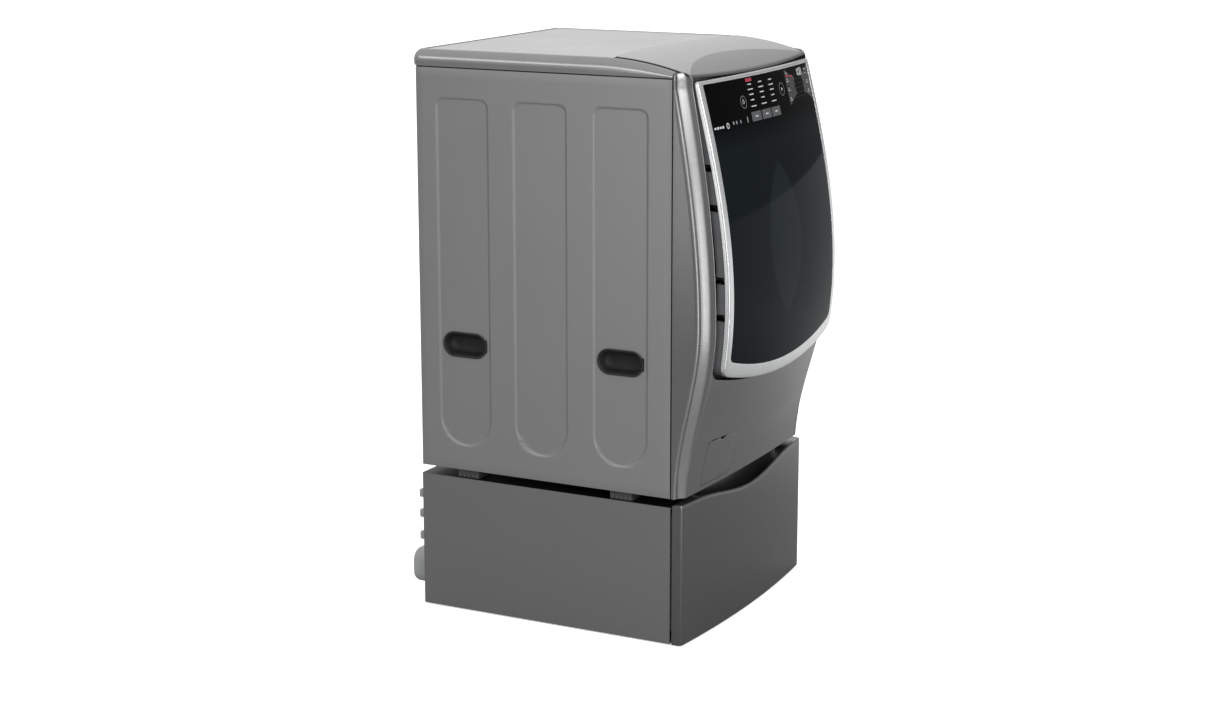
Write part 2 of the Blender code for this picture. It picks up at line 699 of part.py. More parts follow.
def make_suspension(paints):
    dress(
        paints["concrete"],
        arc_block("counterweight_lower", 0.219, 0.292, 0.022, 0.0480, 200, 340),
        arc_block("counterweight_upper", TUB_R + 0.0015, TUB_R + 0.058, 0.10, 0.28, 62, 118, 8),
    )
    for name, side in (("spring_left", -1), ("spring_right", 1)):
        low, high = 1.145, 1.345
        t = np.linspace(0, 1, 57)
        coil = 0.011 * np.ones_like(t)
        turn = 2 * np.pi * 7 * t
        path = np.stack([
            side * 0.318 + coil * np.cos(turn), 0.36 + coil * np.sin(turn), low + (high - low) * t
        ], -1)
        dress(paints["zinc"], swept(name, path, 0.0018, 5))
    for name, side in (("damper_left", -1), ("damper_right", 1)):
        foot = np.array([side * 0.295, 0.33, CABINET_BOTTOM + 0.0135])
        head = np.array([side * 0.215, 0.33, 0.6855])
        damper = swept(name, [foot, foot + (head - foot) * 0.5], 0.016, 12)
        join(damper, swept("piston", [foot + (head - foot) * 0.4, head], 0.006, 8))
        dress(paints["dark"], damper)


def make_service(paints):
    """Drain pump, its filter cap and the small flap in front of them."""
    pump = rod("drain_pump", "y", (-0.193, 0, 0.434), 0.034, 0.010, 0.130, 20)
    cut(pump, rod("bore", "y", (-0.193, 0, 0.434), 0.0285, -0.05, 0.080, 20))
    join(pump, box("pump_foot", -0.225, -0.161, 0.020, 0.110, CABINET_BOTTOM + 0.0130, 0.404))
    dress(paints["white"], pump)
    cap = rod("filter_cap", "y", (-0.193, 0, 0.434), 0.0278, -0.004, 0.060, 20)
    join(cap, box("grip", -0.198, -0.188, -0.0160, 0.0, 0.412, 0.456))
    dress(paints["dark"], cap)
    xs = np.linspace(-0.2900, -0.0960, 7)
    rings = []
    for z in (0.3800, 0.405, 0.430, 0.455, 0.480, 0.5000):
        def face(x, back):
            p, e = float(corner_y(z)), float(panel_rise(z))
            bulge = 0.0101 + 0.0089 * float(smooth((z - CABINET_BOTTOM) / 0.27))
            return -p - e - bulge * (1 - (x / 0.3415) ** 2) + back
        ring = [(x, face(x, 0.0), z) for x in xs]
        ring += [(x, face(x, 0.0022), z) for x in xs[::-1]]
        rings.append(ring)
    flap = loops("service_flap", rings)
    combine(flap, prism("edge", rounded(-0.2670, -0.1110, 0.3845, 0.4955, 0.0115), "y", -0.2, 0.1), "INTERSECT")
    cut(flap, box("notch", -0.1980, -0.1700, -0.2, 0.0, 0.4895, 0.5100))
    dress(paints["brushed"], flap)


# ---------------------------------------------------------------- pedestal

def pedestal_front(x, back=0.0):
    return -(0.031 + 0.0202 * (1 - (np.asarray(x) / HALF) ** 2)) + back


def make_pedestal(paints):
    body = box("pedestal_cabinet", -HALF, HALF, 0.0015, DEPTH, 0.003, PEDESTAL_TOP)
    cut(body, box("under", -HALF + SHEET, HALF - SHEET, 0.0015 + SHEET, DEPTH - SHEET, -0.1, 0.012))
    cut(body, box("inside", -HALF + SHEET, HALF - SHEET, -0.1, DEPTH - SHEET, 0.012 + SHEET, PEDESTAL_TOP - 0.006))
    cut(body, box("top_hole", -0.30, 0.30, 0.07, 0.64, 0.3, 0.4))
    dress(paints["sheet_dark"], body)
    cover = box("pedestal_rear_cover", -0.345, -0.060, DEPTH + GAP, DEPTH + 0.016, 0.040, 0.315)
    bulb = prism("bulb", rounded(-0.347, -0.130, 0.042, 0.132, 0.03), "y", DEPTH + 0.010, DEPTH + 0.052)
    join(cover, bulb)
    for z in (0.176, 0.235, 0.289):
        join(cover, box("clip", -0.350, -0.335, DEPTH + 0.006, DEPTH + 0.024, z - 0.011, z + 0.011))
    dress(paints["plastic"], cover)

    xs = np.linspace(-HALF, HALF, 17)
    scoop = 0.3600 - 0.030 * np.cos(np.clip(xs / 0.30, -1, 1) * np.pi / 2) ** 2
    outer = np.stack([xs, pedestal_front(xs)], -1)
    rings = []
    for x, y, top in zip(xs, outer[:, 1], scoop):
        rings.append([(x, y, 0.002), (x, y, float(top)), (x, y + 0.020, float(top) + 0.004), (x, -0.0035, 0.356),
                      (x, -0.0035, 0.002)])
    face = loops("drawer_front", rings)
    cut(face, prism("pull", rounded(-0.24, 0.24, 0.285, 0.3405, 0.02), "y", -0.042, -0.0065))
    hand = loops("hand", [
        [(x, y, z) for y, z in ((-0.0420, 0.30), (-0.0065, 0.30), (-0.0065, 0.40), (-0.0420, 0.40))]
        for x in (-0.22, 0.22)
    ])
    cut(face, hand)
    dress(paints["brushed_dark"], face)

    inner = HALF - SHEET - 0.018
    drawer = box("drawer_box", -inner, inner, -0.0029, 0.655, 0.030, 0.330)
    cut(drawer, rod("well", "z", (MINI_X, MINI_Y, 0), 0.255, 0.075, 0.5, 32))
    cut(drawer, box("front_well", -0.28, 0.28, 0.010, 0.066, 0.075, 0.5))
    for side in (-1, 1):
        cut(drawer, box("groove", side * inner - 0.006, side * inner + 0.006, -0.01, 0.70, 0.150, 0.190))
    dress(paints["plastic"], drawer)
    for name, side in (("slide_left", -1), ("slide_right", 1)):
        out = HALF - SHEET - 0.0004
        ends = sorted((side * out, side * (inner - 0.0050)))
        dress(paints["zinc"], box(name, ends[0], ends[1], 0.02, 0.64, 0.156, 0.184))

    centre = (MINI_X, MINI_Y, 0)
    tub = lathe(
        "mini_tub", "z", centre,
        [(0.245, 0.300), (0.251, 0.300), (0.251, 0.084), (0.020, 0.084), (0.020, 0.088), (0.245, 0.088)],
        32,
    )
    drum = lathe(
        "mini_drum", "z", centre,
        [(0.222, 0.292), (0.228, 0.292), (0.228, 0.094), (0.020, 0.094), (0.020, 0.097), (0.222, 0.097)],
        32,
    )
    pulsator = lathe(
        "pulsator", "z", centre,
        [(0.0002, 0.0975), (0.120, 0.0975), (0.124, 0.104), (0.030, 0.122), (0.0002, 0.126)], 28, closed=False,
    )
    for k in range(3):
        angle = 2 * math.pi * k / 3
        c, s = math.cos(angle), math.sin(angle)
        rings = []
        for r, z in ((0.015, 0.134), (0.112, 0.113)):
            rings.append([
                (MINI_X + r * c - w * s, MINI_Y + r * s + w * c, h)
                for w, h in ((-0.006, 0.100), (0.006, 0.100), (0.003, z), (-0.003, z))
            ])
        join(pulsator, loops("fin", rings))
    lid = lathe(
        "mini_lid", "z", centre,
        [(0.0002, 0.3315), (0.235, 0.3315), (0.240, 0.3345), (0.232, 0.3400), (0.0002, 0.3430)], 32, closed=False,
    )
    dress(paints["tub"], tub)
    dress(paints["steel"], drum)
    dress(paints["white"], pulsator)
    dress(paints["clear"], lid)


def make_clips(paints):
    """Feet of the washer, each held to the pedestal by a bracket at the side of the gap."""
    for side, tag in ((-1, "left"), (1, "right")):
        for where, y in (("front", 0.139), ("rear", 0.573)):
            x = side * (HALF - 0.030)
            clip = box(f"clip_{tag}_{where}", x - 0.022, x + 0.022, y - 0.030, y + 0.030,
                       PEDESTAL_TOP + 0.0004, CABINET_BOTTOM - 0.0004)
            edge = side * (HALF - 0.0065)
            cut(clip, box("step", min(edge, side * HALF), max(edge, side * HALF), y - 0.05, y + 0.05, 0.3615, 0.40))
            dress(paints["foot"], clip)
    for side, tag in ((-1, "left"), (1, "right")):
        for where, y in (("front", 0.060), ("rear", 0.640)):
            foot = lathe(
                f"foot_{tag}_{where}", "z", (side * 0.315, y, 0),
                [(0.0002, 0.0), (0.022, 0.0), (0.022, 0.008), (0.006, 0.0112), (0.006, 0.0114), (0.0002, 0.0114)],
                20, closed=False,
            )
            dress(paints["foot"], foot)


PAINTS = {
    "sheet": ((0.27, 0.27, 0.28), 0.42, 0.7),
    "sheet_dark": ((0.16, 0.16, 0.17), 0.42, 0.7),
    "brushed": ((0.30, 0.30, 0.31), 0.32, 0.9),
    "brushed_dark": ((0.20, 0.20, 0.21), 0.34, 0.9),
    "silver": ((0.72, 0.73, 0.74), 0.25, 0.8),
    "silver_dark": ((0.42, 0.43, 0.44), 0.28, 0.8),
    "inset": ((0.60, 0.61, 0.62), 0.35, 0.4),
    "smoked": ((0.015, 0.018, 0.022), 0.05, 0.0),
    "clear": ((0.75, 0.80, 0.82), 0.05, 0.0),
    "grey": ((0.14, 0.14, 0.145), 0.5, 0.0),
    "dark": ((0.05, 0.05, 0.055), 0.5, 0.0),
    "black": ((0.02, 0.02, 0.02), 0.5, 0.0),
    "board": ((0.02, 0.06, 0.03), 0.5, 0.0),
    "white": ((0.75, 0.75, 0.74), 0.4, 0.0),
    "plastic": ((0.55, 0.56, 0.57), 0.45, 0.0),
    "tub": ((0.50, 0.51, 0.52), 0.5, 0.0),
    "rubber": ((0.12, 0.12, 0.125), 0.7, 0.0),
    "steel": ((0.62, 0.62, 0.63), 0.25, 1.0),
    "cast": ((0.45, 0.45, 0.46), 0.5, 0.9),
    "zinc": ((0.55, 0.56, 0.58), 0.35, 0.9),
    "copper": ((0.55, 0.27, 0.12), 0.4, 0.8),
    "concrete": ((0.38, 0.38, 0.37), 0.9, 0.0),
    "foot": ((0.08, 0.08, 0.085), 0.6, 0.0),
}


def main():
    for old in list(bpy.data.objects):
        bpy.data.objects.remove(old)
    paints = {name: material(name, *values) for name, values in PAINTS.items()}
    make_front_panel(paints)
    make_bulkhead(paints)
    make_cabinet(paints)
    make_top(paints)
    make_door(paints)
    make_hinges(paints)
    make_drum(paints)
    make_suspension(paints)
    make_service(paints)
    make_pedestal(paints)
    make_clips(paints)


main()
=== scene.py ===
"""Front load washing machine on a drawer pedestal: the visible surfaces, built round the packed CAD frame."""
import math

import bmesh
import bpy
import numpy as np
from mathutils import Matrix, Vector


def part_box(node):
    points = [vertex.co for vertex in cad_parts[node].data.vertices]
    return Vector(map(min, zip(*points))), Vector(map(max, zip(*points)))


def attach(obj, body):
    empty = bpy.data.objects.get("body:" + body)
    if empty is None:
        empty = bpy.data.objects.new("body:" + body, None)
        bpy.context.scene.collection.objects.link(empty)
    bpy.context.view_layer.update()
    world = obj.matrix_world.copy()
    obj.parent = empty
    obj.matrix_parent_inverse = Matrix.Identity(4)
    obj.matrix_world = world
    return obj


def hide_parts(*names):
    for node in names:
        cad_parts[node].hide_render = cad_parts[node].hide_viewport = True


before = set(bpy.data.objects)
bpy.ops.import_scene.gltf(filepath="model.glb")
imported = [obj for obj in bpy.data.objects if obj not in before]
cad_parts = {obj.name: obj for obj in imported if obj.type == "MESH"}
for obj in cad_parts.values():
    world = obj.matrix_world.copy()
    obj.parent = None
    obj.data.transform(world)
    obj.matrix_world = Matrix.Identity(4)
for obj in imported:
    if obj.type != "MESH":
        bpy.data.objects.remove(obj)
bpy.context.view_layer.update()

bl_info = {
    "name": "Front load washing machine",
    "version": (1, 0, 0),
    "blender": (4, 5, 0),
    "location": "3D View > Sidebar > Washer",
    "description": "Builds the surfaces and finishes of a front load washing machine on a drawer pedestal",
    "category": "Object",
}

# ---------------------------------------------------------------- sizes, metres

SEAM = float(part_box("side_panel_left")[0][1]) - 0.0015
HALF = float(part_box("side_panel_right")[1][0])
SEAM_BACK = float(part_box("side_panel_left")[1][1]) - SEAM
CABINET_LOW = float(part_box("side_panel_left")[0][2])
SIDE_TOP = float(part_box("side_panel_left")[1][2])
TOP = float(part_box("dispenser_lid")[1][2])
PEDESTAL_TOP = float(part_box("pedestal_cabinet")[1][2])
DOOR_HALF = float(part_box("door_trim")[1][0])
DOOR_TOP = float(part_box("door_trim")[1][2])
DOOR_LOW = float(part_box("door_trim")[0][2])
DOOR_SMILE = 0.045
DOOR_BULGE = 0.019
DRUM_Z = 0.905
POCKET_GAP = 0.0075
COLUMNS = (0.138, 0.357, 0.574)
LIFTS = (0.138, 0.574)
MINI_Y = 0.335
RAIL_BACK = 0.012
CREASE_Y = 0.055
CREASE_BOW = 0.10


def smooth(t):
    """Cubic ease from 0 to 1: 3t^2 - 2t^3 between the ends."""
    t = np.clip(t, 0.0, 1.0)
    return t * t * (3 - 2 * t)


def door_y(x, z):
    """Front face of the door: a cubic profile with its belly low down, plus a parabola in plan."""
    t = np.asarray(z, float) - 0.85
    drop = 0.44 * t**2 + np.where(t > 0, -0.235, -0.15) * t**3
    return -(0.1352 - drop + DOOR_BULGE * (1 - (np.asarray(x) / DOOR_HALF) ** 2))


def corner_y(z):
    """How far the rounded front corner stands before the seam: a cubic above, a half cosine below."""
    z = np.asarray(z, float)
    above = 0.072 - 0.277 * (z - 0.8) ** 2 + 0.127 * (z - 0.8) ** 3
    below = 0.072 - 0.030 * (1 - np.cos(np.pi * (0.8 - z) / 0.427))
    return np.maximum(np.where(z > 0.8, above, below), 0.006)


def panel_rise(z):
    """How far the face beside the door stands before its rounded corner: a straight ramp from the foot."""
    return 0.015 + 0.0165 * np.clip((np.asarray(z, float) - CABINET_LOW) / 0.27, 0, 1)


def panel_bulge(z):
    """Plan curve of the apron, growing from its foot to the door."""
    return 0.0101 + 0.0089 * smooth((np.asarray(z, float) - CABINET_LOW) / 0.27)


def apron_y(x, z):
    """Front face under the door: corner, rise and a parabola in plan."""
    return -(corner_y(z) + panel_rise(z) + panel_bulge(z) * (1 - (np.asarray(x) / 0.3425) ** 2))


def lid_z(x, y):
    """The front part of the top: a parabola falling to the door, steeper before a curved crease."""
    crease = CREASE_Y - CREASE_BOW * (np.asarray(x) / HALF) ** 2
    fall = 0.68 * np.maximum(0.0, 0.2 - np.asarray(y)) ** 2
    return TOP - fall - 0.015 * np.maximum(0.0, crease - np.asarray(y))


def seam_line(x):
    """The seam across the top: a parabola bowed to the rear."""
    return 0.165 + 0.036 * (1 - (np.asarray(x) / 0.345) ** 2)


def lid_front(x):
    return -(0.036 + DOOR_BULGE * (1 - (np.asarray(x) / DOOR_HALF) ** 2))


# ---------------------------------------------------------------- meshes

class Shape:
    """Collects grids of points, in the seam frame, into one mesh."""

    def __init__(self):
        self.points = []
        self.faces = []
        self.uvs = []
        self.slots = []
        self.count = 0

    def grid(self, points, wrap_u=False, wrap_v=False, flip=False, slot=0):
        """A surface through points[u, v]; wrap closes it round in that direction."""
        points = np.asarray(points, float)
        nu, nv = points.shape[:2]
        iu = np.arange(nu if wrap_u else nu - 1)
        iv = np.arange(nv if wrap_v else nv - 1)
        a, b = np.meshgrid(iu, iv, indexing="ij")
        a2, b2 = (a + 1) % nu, (b + 1) % nv
        quads = np.stack([a * nv + b, a2 * nv + b, a2 * nv + b2, a * nv + b2], -1).reshape(-1, 4)
        if flip:
            quads = quads[:, ::-1]
        self.points.append(points.reshape(-1, 3))
        self.faces.append(quads + self.count)
        self.slots.append(np.full(len(quads), slot))
        self.count += nu * nv
        return self

    def fan(self, ring, flip=False, slot=0):
        """Closes a ring with quads folded to its middle."""
        ring = np.asarray(ring, float)
        middle = np.repeat(ring.mean(0)[None], len(ring), 0)
        return self.grid(np.stack([ring, middle * 0.999 + ring * 0.001]), wrap_v=True, flip=flip, slot=slot)

    def slab(self, points, thick, wrap_v=False, slot=0):
        """A plate: the surface, its copy moved back along its normals, and the rims between them."""
        points = np.asarray(points, float)
        back = points - normals(points, wrap_v) * thick
        self.grid(points, wrap_v=wrap_v, slot=slot)
        self.grid(back, wrap_v=wrap_v, flip=True, slot=slot)
        self.grid(np.stack([points[0], back[0]]), wrap_v=wrap_v, slot=slot)
        self.grid(np.stack([points[-1], back[-1]]), wrap_v=wrap_v, flip=True, slot=slot)
        if not wrap_v:
            self.grid(np.stack([points[:, 0], back[:, 0]]), flip=True, slot=slot)
            self.grid(np.stack([points[:, -1], back[:, -1]]), slot=slot)
        return self

    def make(self, name, paints, body, slot=None, replaces=(), sharp=35, flip=False, outward=False):
        """The mesh object, in place, riding on its body."""
        points = np.concatenate(self.points) + (0.0, SEAM, 0.0)
        quads = np.concatenate(self.faces)
        if flip:
            quads = quads[:, ::-1]
        mesh = bpy.data.meshes.new(name)
        mesh.vertices.add(len(points))
        mesh.vertices.foreach_set("co", points.astype(np.float32).ravel())
        mesh.loops.add(quads.size)
        mesh.loops.foreach_set("vertex_index", quads.astype(np.int32).ravel())
        mesh.polygons.add(len(quads))
        mesh.polygons.foreach_set("loop_start", np.arange(0, quads.size, 4, dtype=np.int32))
        mesh.polygons.foreach_set("material_index", np.concatenate(self.slots).astype(np.int32))
        mesh.update(calc_edges=True)
        mesh.validate(clean_customdata=False)
        made = bpy.data.objects.new(name, mesh)
        bpy.context.scene.collection.objects.link(made)
        merge(mesh, outward)
        mesh.polygons.foreach_set("use_smooth", [True] * len(mesh.polygons))
        mesh.set_sharp_from_angle(angle=math.radians(sharp))
        for paint in paints if isinstance(paints, (list, tuple)) else [paints]:
            mesh.materials.append(PAINT[paint])
        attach(made, body)
        if replaces:
            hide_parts(*replaces)
        return made


def merge(mesh, outward=False):
    """Joins points that lie on each other, drops the faces that collapse and can turn all faces outward."""
    bm = bmesh.new()
    bm.from_mesh(mesh)
    bmesh.ops.remove_doubles(bm, verts=bm.verts, dist=2e-6)
    bmesh.ops.dissolve_degenerate(bm, dist=1e-7, edges=bm.edges)
    if outward:
        bmesh.ops.recalc_face_normals(bm, faces=bm.faces)
    bm.to_mesh(mesh)
    bm.free()
    mesh.update()


def normals(points, wrap_v=False):
    """Unit normals of a grid, from the cross product of its two directions."""
    du = np.gradient(points, axis=0)
    if wrap_v:
        dv = np.roll(points, -1, 1) - np.roll(points, 1, 1)
    else:
        dv = np.gradient(points, axis=1)
    n = np.cross(du, dv)
    return n / np.maximum(np.linalg.norm(n, axis=2, keepdims=True), 1e-12)


def spread(low, high, count, dense=(), reach=0.006, extra=8):
    """Grid stations from low to high, with extra ones close round each dense value."""
    places = [np.linspace(low, high, count)]
    places += [np.linspace(max(low, d - reach), min(high, d + reach), extra) for d in dense]
    out = np.unique(np.round(np.concatenate(places), 6))
    return out[np.concatenate([[True], np.diff(out) > 2e-5])]


def obround(middle_u, middle_v, half_u, half_v, radius, n=64):
    """n points round a box with round corners: a superposed circle pushed out to its four centres."""
    angle = 2 * np.pi * (np.arange(n) + 0.5) / n
    c, s = np.cos(angle), np.sin(angle)
    return np.stack([
        middle_u + np.sign(c) * (half_u - radius) + radius * c,
        middle_v + np.sign(s) * (half_v - radius) + radius * s,
    ], -1)


def turned(profile, centre, axis="y", n=96):
    """Points of a turned surface: profile rows are (radius, distance along the axis)."""
    profile = np.asarray(profile, float)
    angle = 2 * np.pi * np.arange(n) / n
    r, along = profile[:, :1], np.repeat(profile[:, 1:], n, 1)
    c, s = r * np.cos(angle), r * np.sin(angle)
    if axis == "y":
        out = np.stack([c, along, s], -1)
    elif axis == "z":
        out = np.stack([c, s, along], -1)
    else:
        out = np.stack([along, c, s], -1)
    return out + np.asarray(centre, float)


def rounded_path(corners, radius, steps=4):
    """A polyline with each inner corner turned into a short arc (a quadratic curve between two cuts)."""
    corners = np.asarray(corners, float)
    out = [corners[:1]]
    for k in range(1, len(corners) - 1):
        before, at, after = corners[k - 1:k + 2]
        r = radius[k] if isinstance(radius, (list, tuple)) else radius
        a = at + (before - at) * min(0.49, r / max(np.linalg.norm(before - at), 1e-9))
        b = at + (after - at) * min(0.49, r / max(np.linalg.norm(after - at), 1e-9))
        t = np.linspace(0, 1, steps + 1)[:, None]
        out.append((1 - t) ** 2 * a + 2 * t * (1 - t) * at + t**2 * b)
    out.append(corners[-1:])
    return np.concatenate(out)


def rounded_block(shape, low, high, r, n=5, slot=0):
    """A box with all its edges rounded: a sphere's points pushed out to the eight corners."""
    low, high = np.asarray(low, float), np.asarray(high, float)
    r = min(r, 0.49 * float((high - low).min()))
    v = np.concatenate([np.linspace(-math.pi / 2, 0, n), np.linspace(0, math.pi / 2, n)])
    u = np.concatenate([np.linspace(q * math.pi / 2, (q + 1) * math.pi / 2, n) for q in range(4)])
    su = np.concatenate([np.full(n, a) for a in (1, -1, -1, 1)])
    tu = np.concatenate([np.full(n, a) for a in (1, 1, -1, -1)])
    sv = np.concatenate([np.full(n, -1), np.full(n, 1)])
    half, middle = (high - low) / 2 - r, (high + low) / 2
    x = middle[0] + su[None] * half[0] + r * np.cos(v)[:, None] * np.cos(u)[None]
    y = middle[1] + tu[None] * half[1] + r * np.cos(v)[:, None] * np.sin(u)[None]
    z = middle[2] + sv[:, None] * half[2] + r * np.sin(v)[:, None] + 0 * x
    points = np.stack([x, y, z], -1)
    shape.grid(points, wrap_v=True, flip=True, slot=slot)
    shape.fan(points[0], flip=False, slot=slot)
    shape.fan(points[-1], flip=True, slot=slot)
    return shape


# ---------------------------------------------------------------- finishes

def linear(colour):
    """sRGB hex to linear RGBA."""
    values = [int(colour[k:k + 2], 16) / 255 for k in (1, 3, 5)]
    return (*(c / 12.92 if c <= 0.04045 else ((c + 0.055) / 1.055) ** 2.4 for c in values), 1.0)


def add(tree, kind, links=None, **settings):
    """Adds a node: attributes and unlinked sockets from settings, links as {socket: source socket}."""
    made = tree.nodes.new(kind)
    sockets = settings.pop("inputs", {})
    for key, value in settings.items():
        setattr(made, key, value)
    for key, value in sockets.items():
        made.inputs[key].default_value = value
    for key, source in (links or {}).items():
        tree.links.new(source, made.inputs[key])
    return made


def finish(name, colour, roughness, metallic=0.0, **sockets):
    """A material with its Principled shader set; returns (material, tree, shader)."""
    made = bpy.data.materials.new(name)
    made.use_nodes = True
    tree = made.node_tree
    shader = tree.nodes["Principled BSDF"]
    shader.inputs["Base Color"].default_value = linear(colour)
    shader.inputs["Roughness"].default_value = roughness
    shader.inputs["Metallic"].default_value = metallic
    for key, value in sockets.items():
        shader.inputs[key.replace("_", " ")].default_value = value
    made.diffuse_color = linear(colour)
    return made, tree, shader


def pattern(tree, scale, detail=3.0, rough=0.55, turn=(0, 0, 0)):
    """Noise on Object coordinates, its cells 1 / scale metres along each axis."""
    place = add(tree, "ShaderNodeTexCoord")
    mapped = add(tree, "ShaderNodeMapping", {"Vector": place.outputs["Object"]},
                 inputs={"Scale": scale, "Rotation": turn})
    return add(tree, "ShaderNodeTexNoise", {"Vector": mapped.outputs["Vector"]},
               inputs={"Scale": 1.0, "Detail": detail, "Roughness": rough}).outputs["Fac"]


def vary(tree, shader, source, low, high, socket="Base Color"):
    """Runs a socket between two values with the pattern."""
    if socket == "Base Color":
        ramp = add(tree, "ShaderNodeValToRGB", {"Fac": source})
        ramp.color_ramp.elements[0].position = 0.3
        ramp.color_ramp.elements[1].position = 0.7
        ramp.color_ramp.elements[0].color = linear(low)
        ramp.color_ramp.elements[1].color = linear(high)
        tree.links.new(ramp.outputs["Color"], shader.inputs[socket])
    else:
        span = add(tree, "ShaderNodeMapRange", {"Value": source},
                   inputs={"From Min": 0.3, "From Max": 0.7, "To Min": low, "To Max": high})
        tree.links.new(span.outputs["Result"], shader.inputs[socket])


def bump(tree, shader, source, depth, strength=1.0):
    """Surface relief of the given depth in metres."""
    made = add(tree, "ShaderNodeBump", {"Height": source},
               inputs={"Distance": depth, "Strength": strength})
    tree.links.new(made.outputs["Normal"], shader.inputs["Normal"])


def painted_steel(name, low, high, roughness, metallic=0.35):
    """Stoved metallic paint on sheet steel: fine flake under a satin coat with slight orange peel."""
    made, tree, shader = finish(name, low, roughness, metallic)
    vary(tree, shader, pattern(tree, (900, 900, 900), 2), low, high)
    bump(tree, shader, pattern(tree, (160, 160, 160), 2), 0.00006, 0.35)
    vary(tree, shader, pattern(tree, (6, 6, 6), 2), roughness - 0.03, roughness + 0.03, "Roughness")
    return made


def mottled(tree, scale, detail, low, high):
    """A colour running between two tones with the pattern."""
    ramp = add(tree, "ShaderNodeValToRGB", {"Fac": pattern(tree, scale, detail)})
    ramp.color_ramp.elements[0].color, ramp.color_ramp.elements[1].color = linear(low), linear(high)
    return ramp.outputs["Color"]


def dim_where(tree, shader, colour, source, start, end, low, high):
    """Base colour scaled from low to high as the source passes from start to end."""
    share = add(tree, "ShaderNodeMapRange", {"Value": source},
                inputs={"From Min": start, "From Max": end, "To Min": low, "To Max": high})
    shade = add(tree, "ShaderNodeVectorMath", {0: colour, 3: share.outputs["Result"]}, operation="SCALE")
    tree.links.new(shade.outputs[0], shader.inputs["Base Color"])


def object_axes(tree):
    """The Object coordinates split into their three axes."""
    return add(tree, "ShaderNodeSeparateXYZ",
               {"Vector": add(tree, "ShaderNodeTexCoord").outputs["Object"]}).outputs


def shaded_on_top(name, low, high, roughness, metallic):
    """The pedestal's paint, with the black pad that lies on its top."""
    made, tree, shader = finish(name, low, roughness, metallic)
    colour = mottled(tree, (900, 900, 900), 2, low, high)
    # Painted shade: the pedestal's top face is darkened almost to black, because the gap above it lies in
    # shade.
    dim_where(tree, shader, colour, object_axes(tree)["Z"], PEDESTAL_TOP - 0.0008, PEDESTAL_TOP - 0.0003,
              1.0, 0.02)
    vary(tree, shader, pattern(tree, (6, 6, 6), 2), roughness - 0.03, roughness + 0.03, "Roughness")
    return made


def brushed_steel(name, low, high, roughness, anisotropic=0.0):
    """Tinted stainless brushed level: grain 0.35 mm high and about 70 mm long, drawn a little coarse."""
    made, tree, shader = finish(name, low, roughness, 0.92, Anisotropic=anisotropic)
    grain = pattern(tree, (7, 7, 1100), 2, 0.4)
    vary(tree, shader, grain, low, high)
    vary(tree, shader, pattern(tree, (9, 9, 900), 3), roughness - 0.02, roughness + 0.03, "Roughness")
    bump(tree, shader, grain, 0.000006, 0.12)
    return made


def satin_metal(name, low, high, roughness, metallic=0.85, cell=300):
    """Anodised or plated metal: an even fine matte grain with faint clouding."""
    made, tree, shader = finish(name, low, roughness, metallic)
    vary(tree, shader, pattern(tree, (12, 12, 12), 3), low, high)
    bump(tree, shader, pattern(tree, (cell * 4,) * 3, 2), 0.00001, 0.3)
    vary(tree, shader, pattern(tree, (cell,) * 3, 2), roughness - 0.03, roughness + 0.04, "Roughness")
    return made


def shaded_before_crease(name, low, high, roughness, metallic):
    """The lid's paint: the field before its curved crease is shaded darker, where the sheet turns down."""
    made, tree, shader = finish(name, low, roughness, metallic)
    axes = object_axes(tree)
    square = add(tree, "ShaderNodeMath", {0: axes["X"], 1: axes["X"]}, operation="MULTIPLY")
    bowed = add(tree, "ShaderNodeMath", {0: square.outputs[0], 2: axes["Y"]}, operation="MULTIPLY_ADD")
    bowed.inputs[1].default_value = CREASE_BOW / HALF**2
    # Painted shade: in front of the crease line the base colour drops to 0.36 of its value.
    dim_where(tree, shader, mottled(tree, (12, 12, 12), 3, low, high), bowed.outputs[0],
              SEAM + CREASE_Y - 0.0015, SEAM + CREASE_Y + 0.0010, 0.36, 1.0)
    vary(tree, shader, pattern(tree, (300, 300, 300), 2), roughness - 0.03, roughness + 0.04, "Roughness")
    return made


def moulded(name, low, high, roughness, grain=1400, depth=0.00004, **sockets):
    """Injection-moulded plastic or rubber: a spark-eroded texture under a soft sheen."""
    made, tree, shader = finish(name, low, roughness, 0.0, **sockets)
    vary(tree, shader, pattern(tree, (25, 25, 25), 3), low, high)
    bump(tree, shader, pattern(tree, (grain,) * 3, 3), depth, 0.5)
    vary(tree, shader, pattern(tree, (grain / 4,) * 3, 2), roughness - 0.05, roughness + 0.06, "Roughness")
    return made


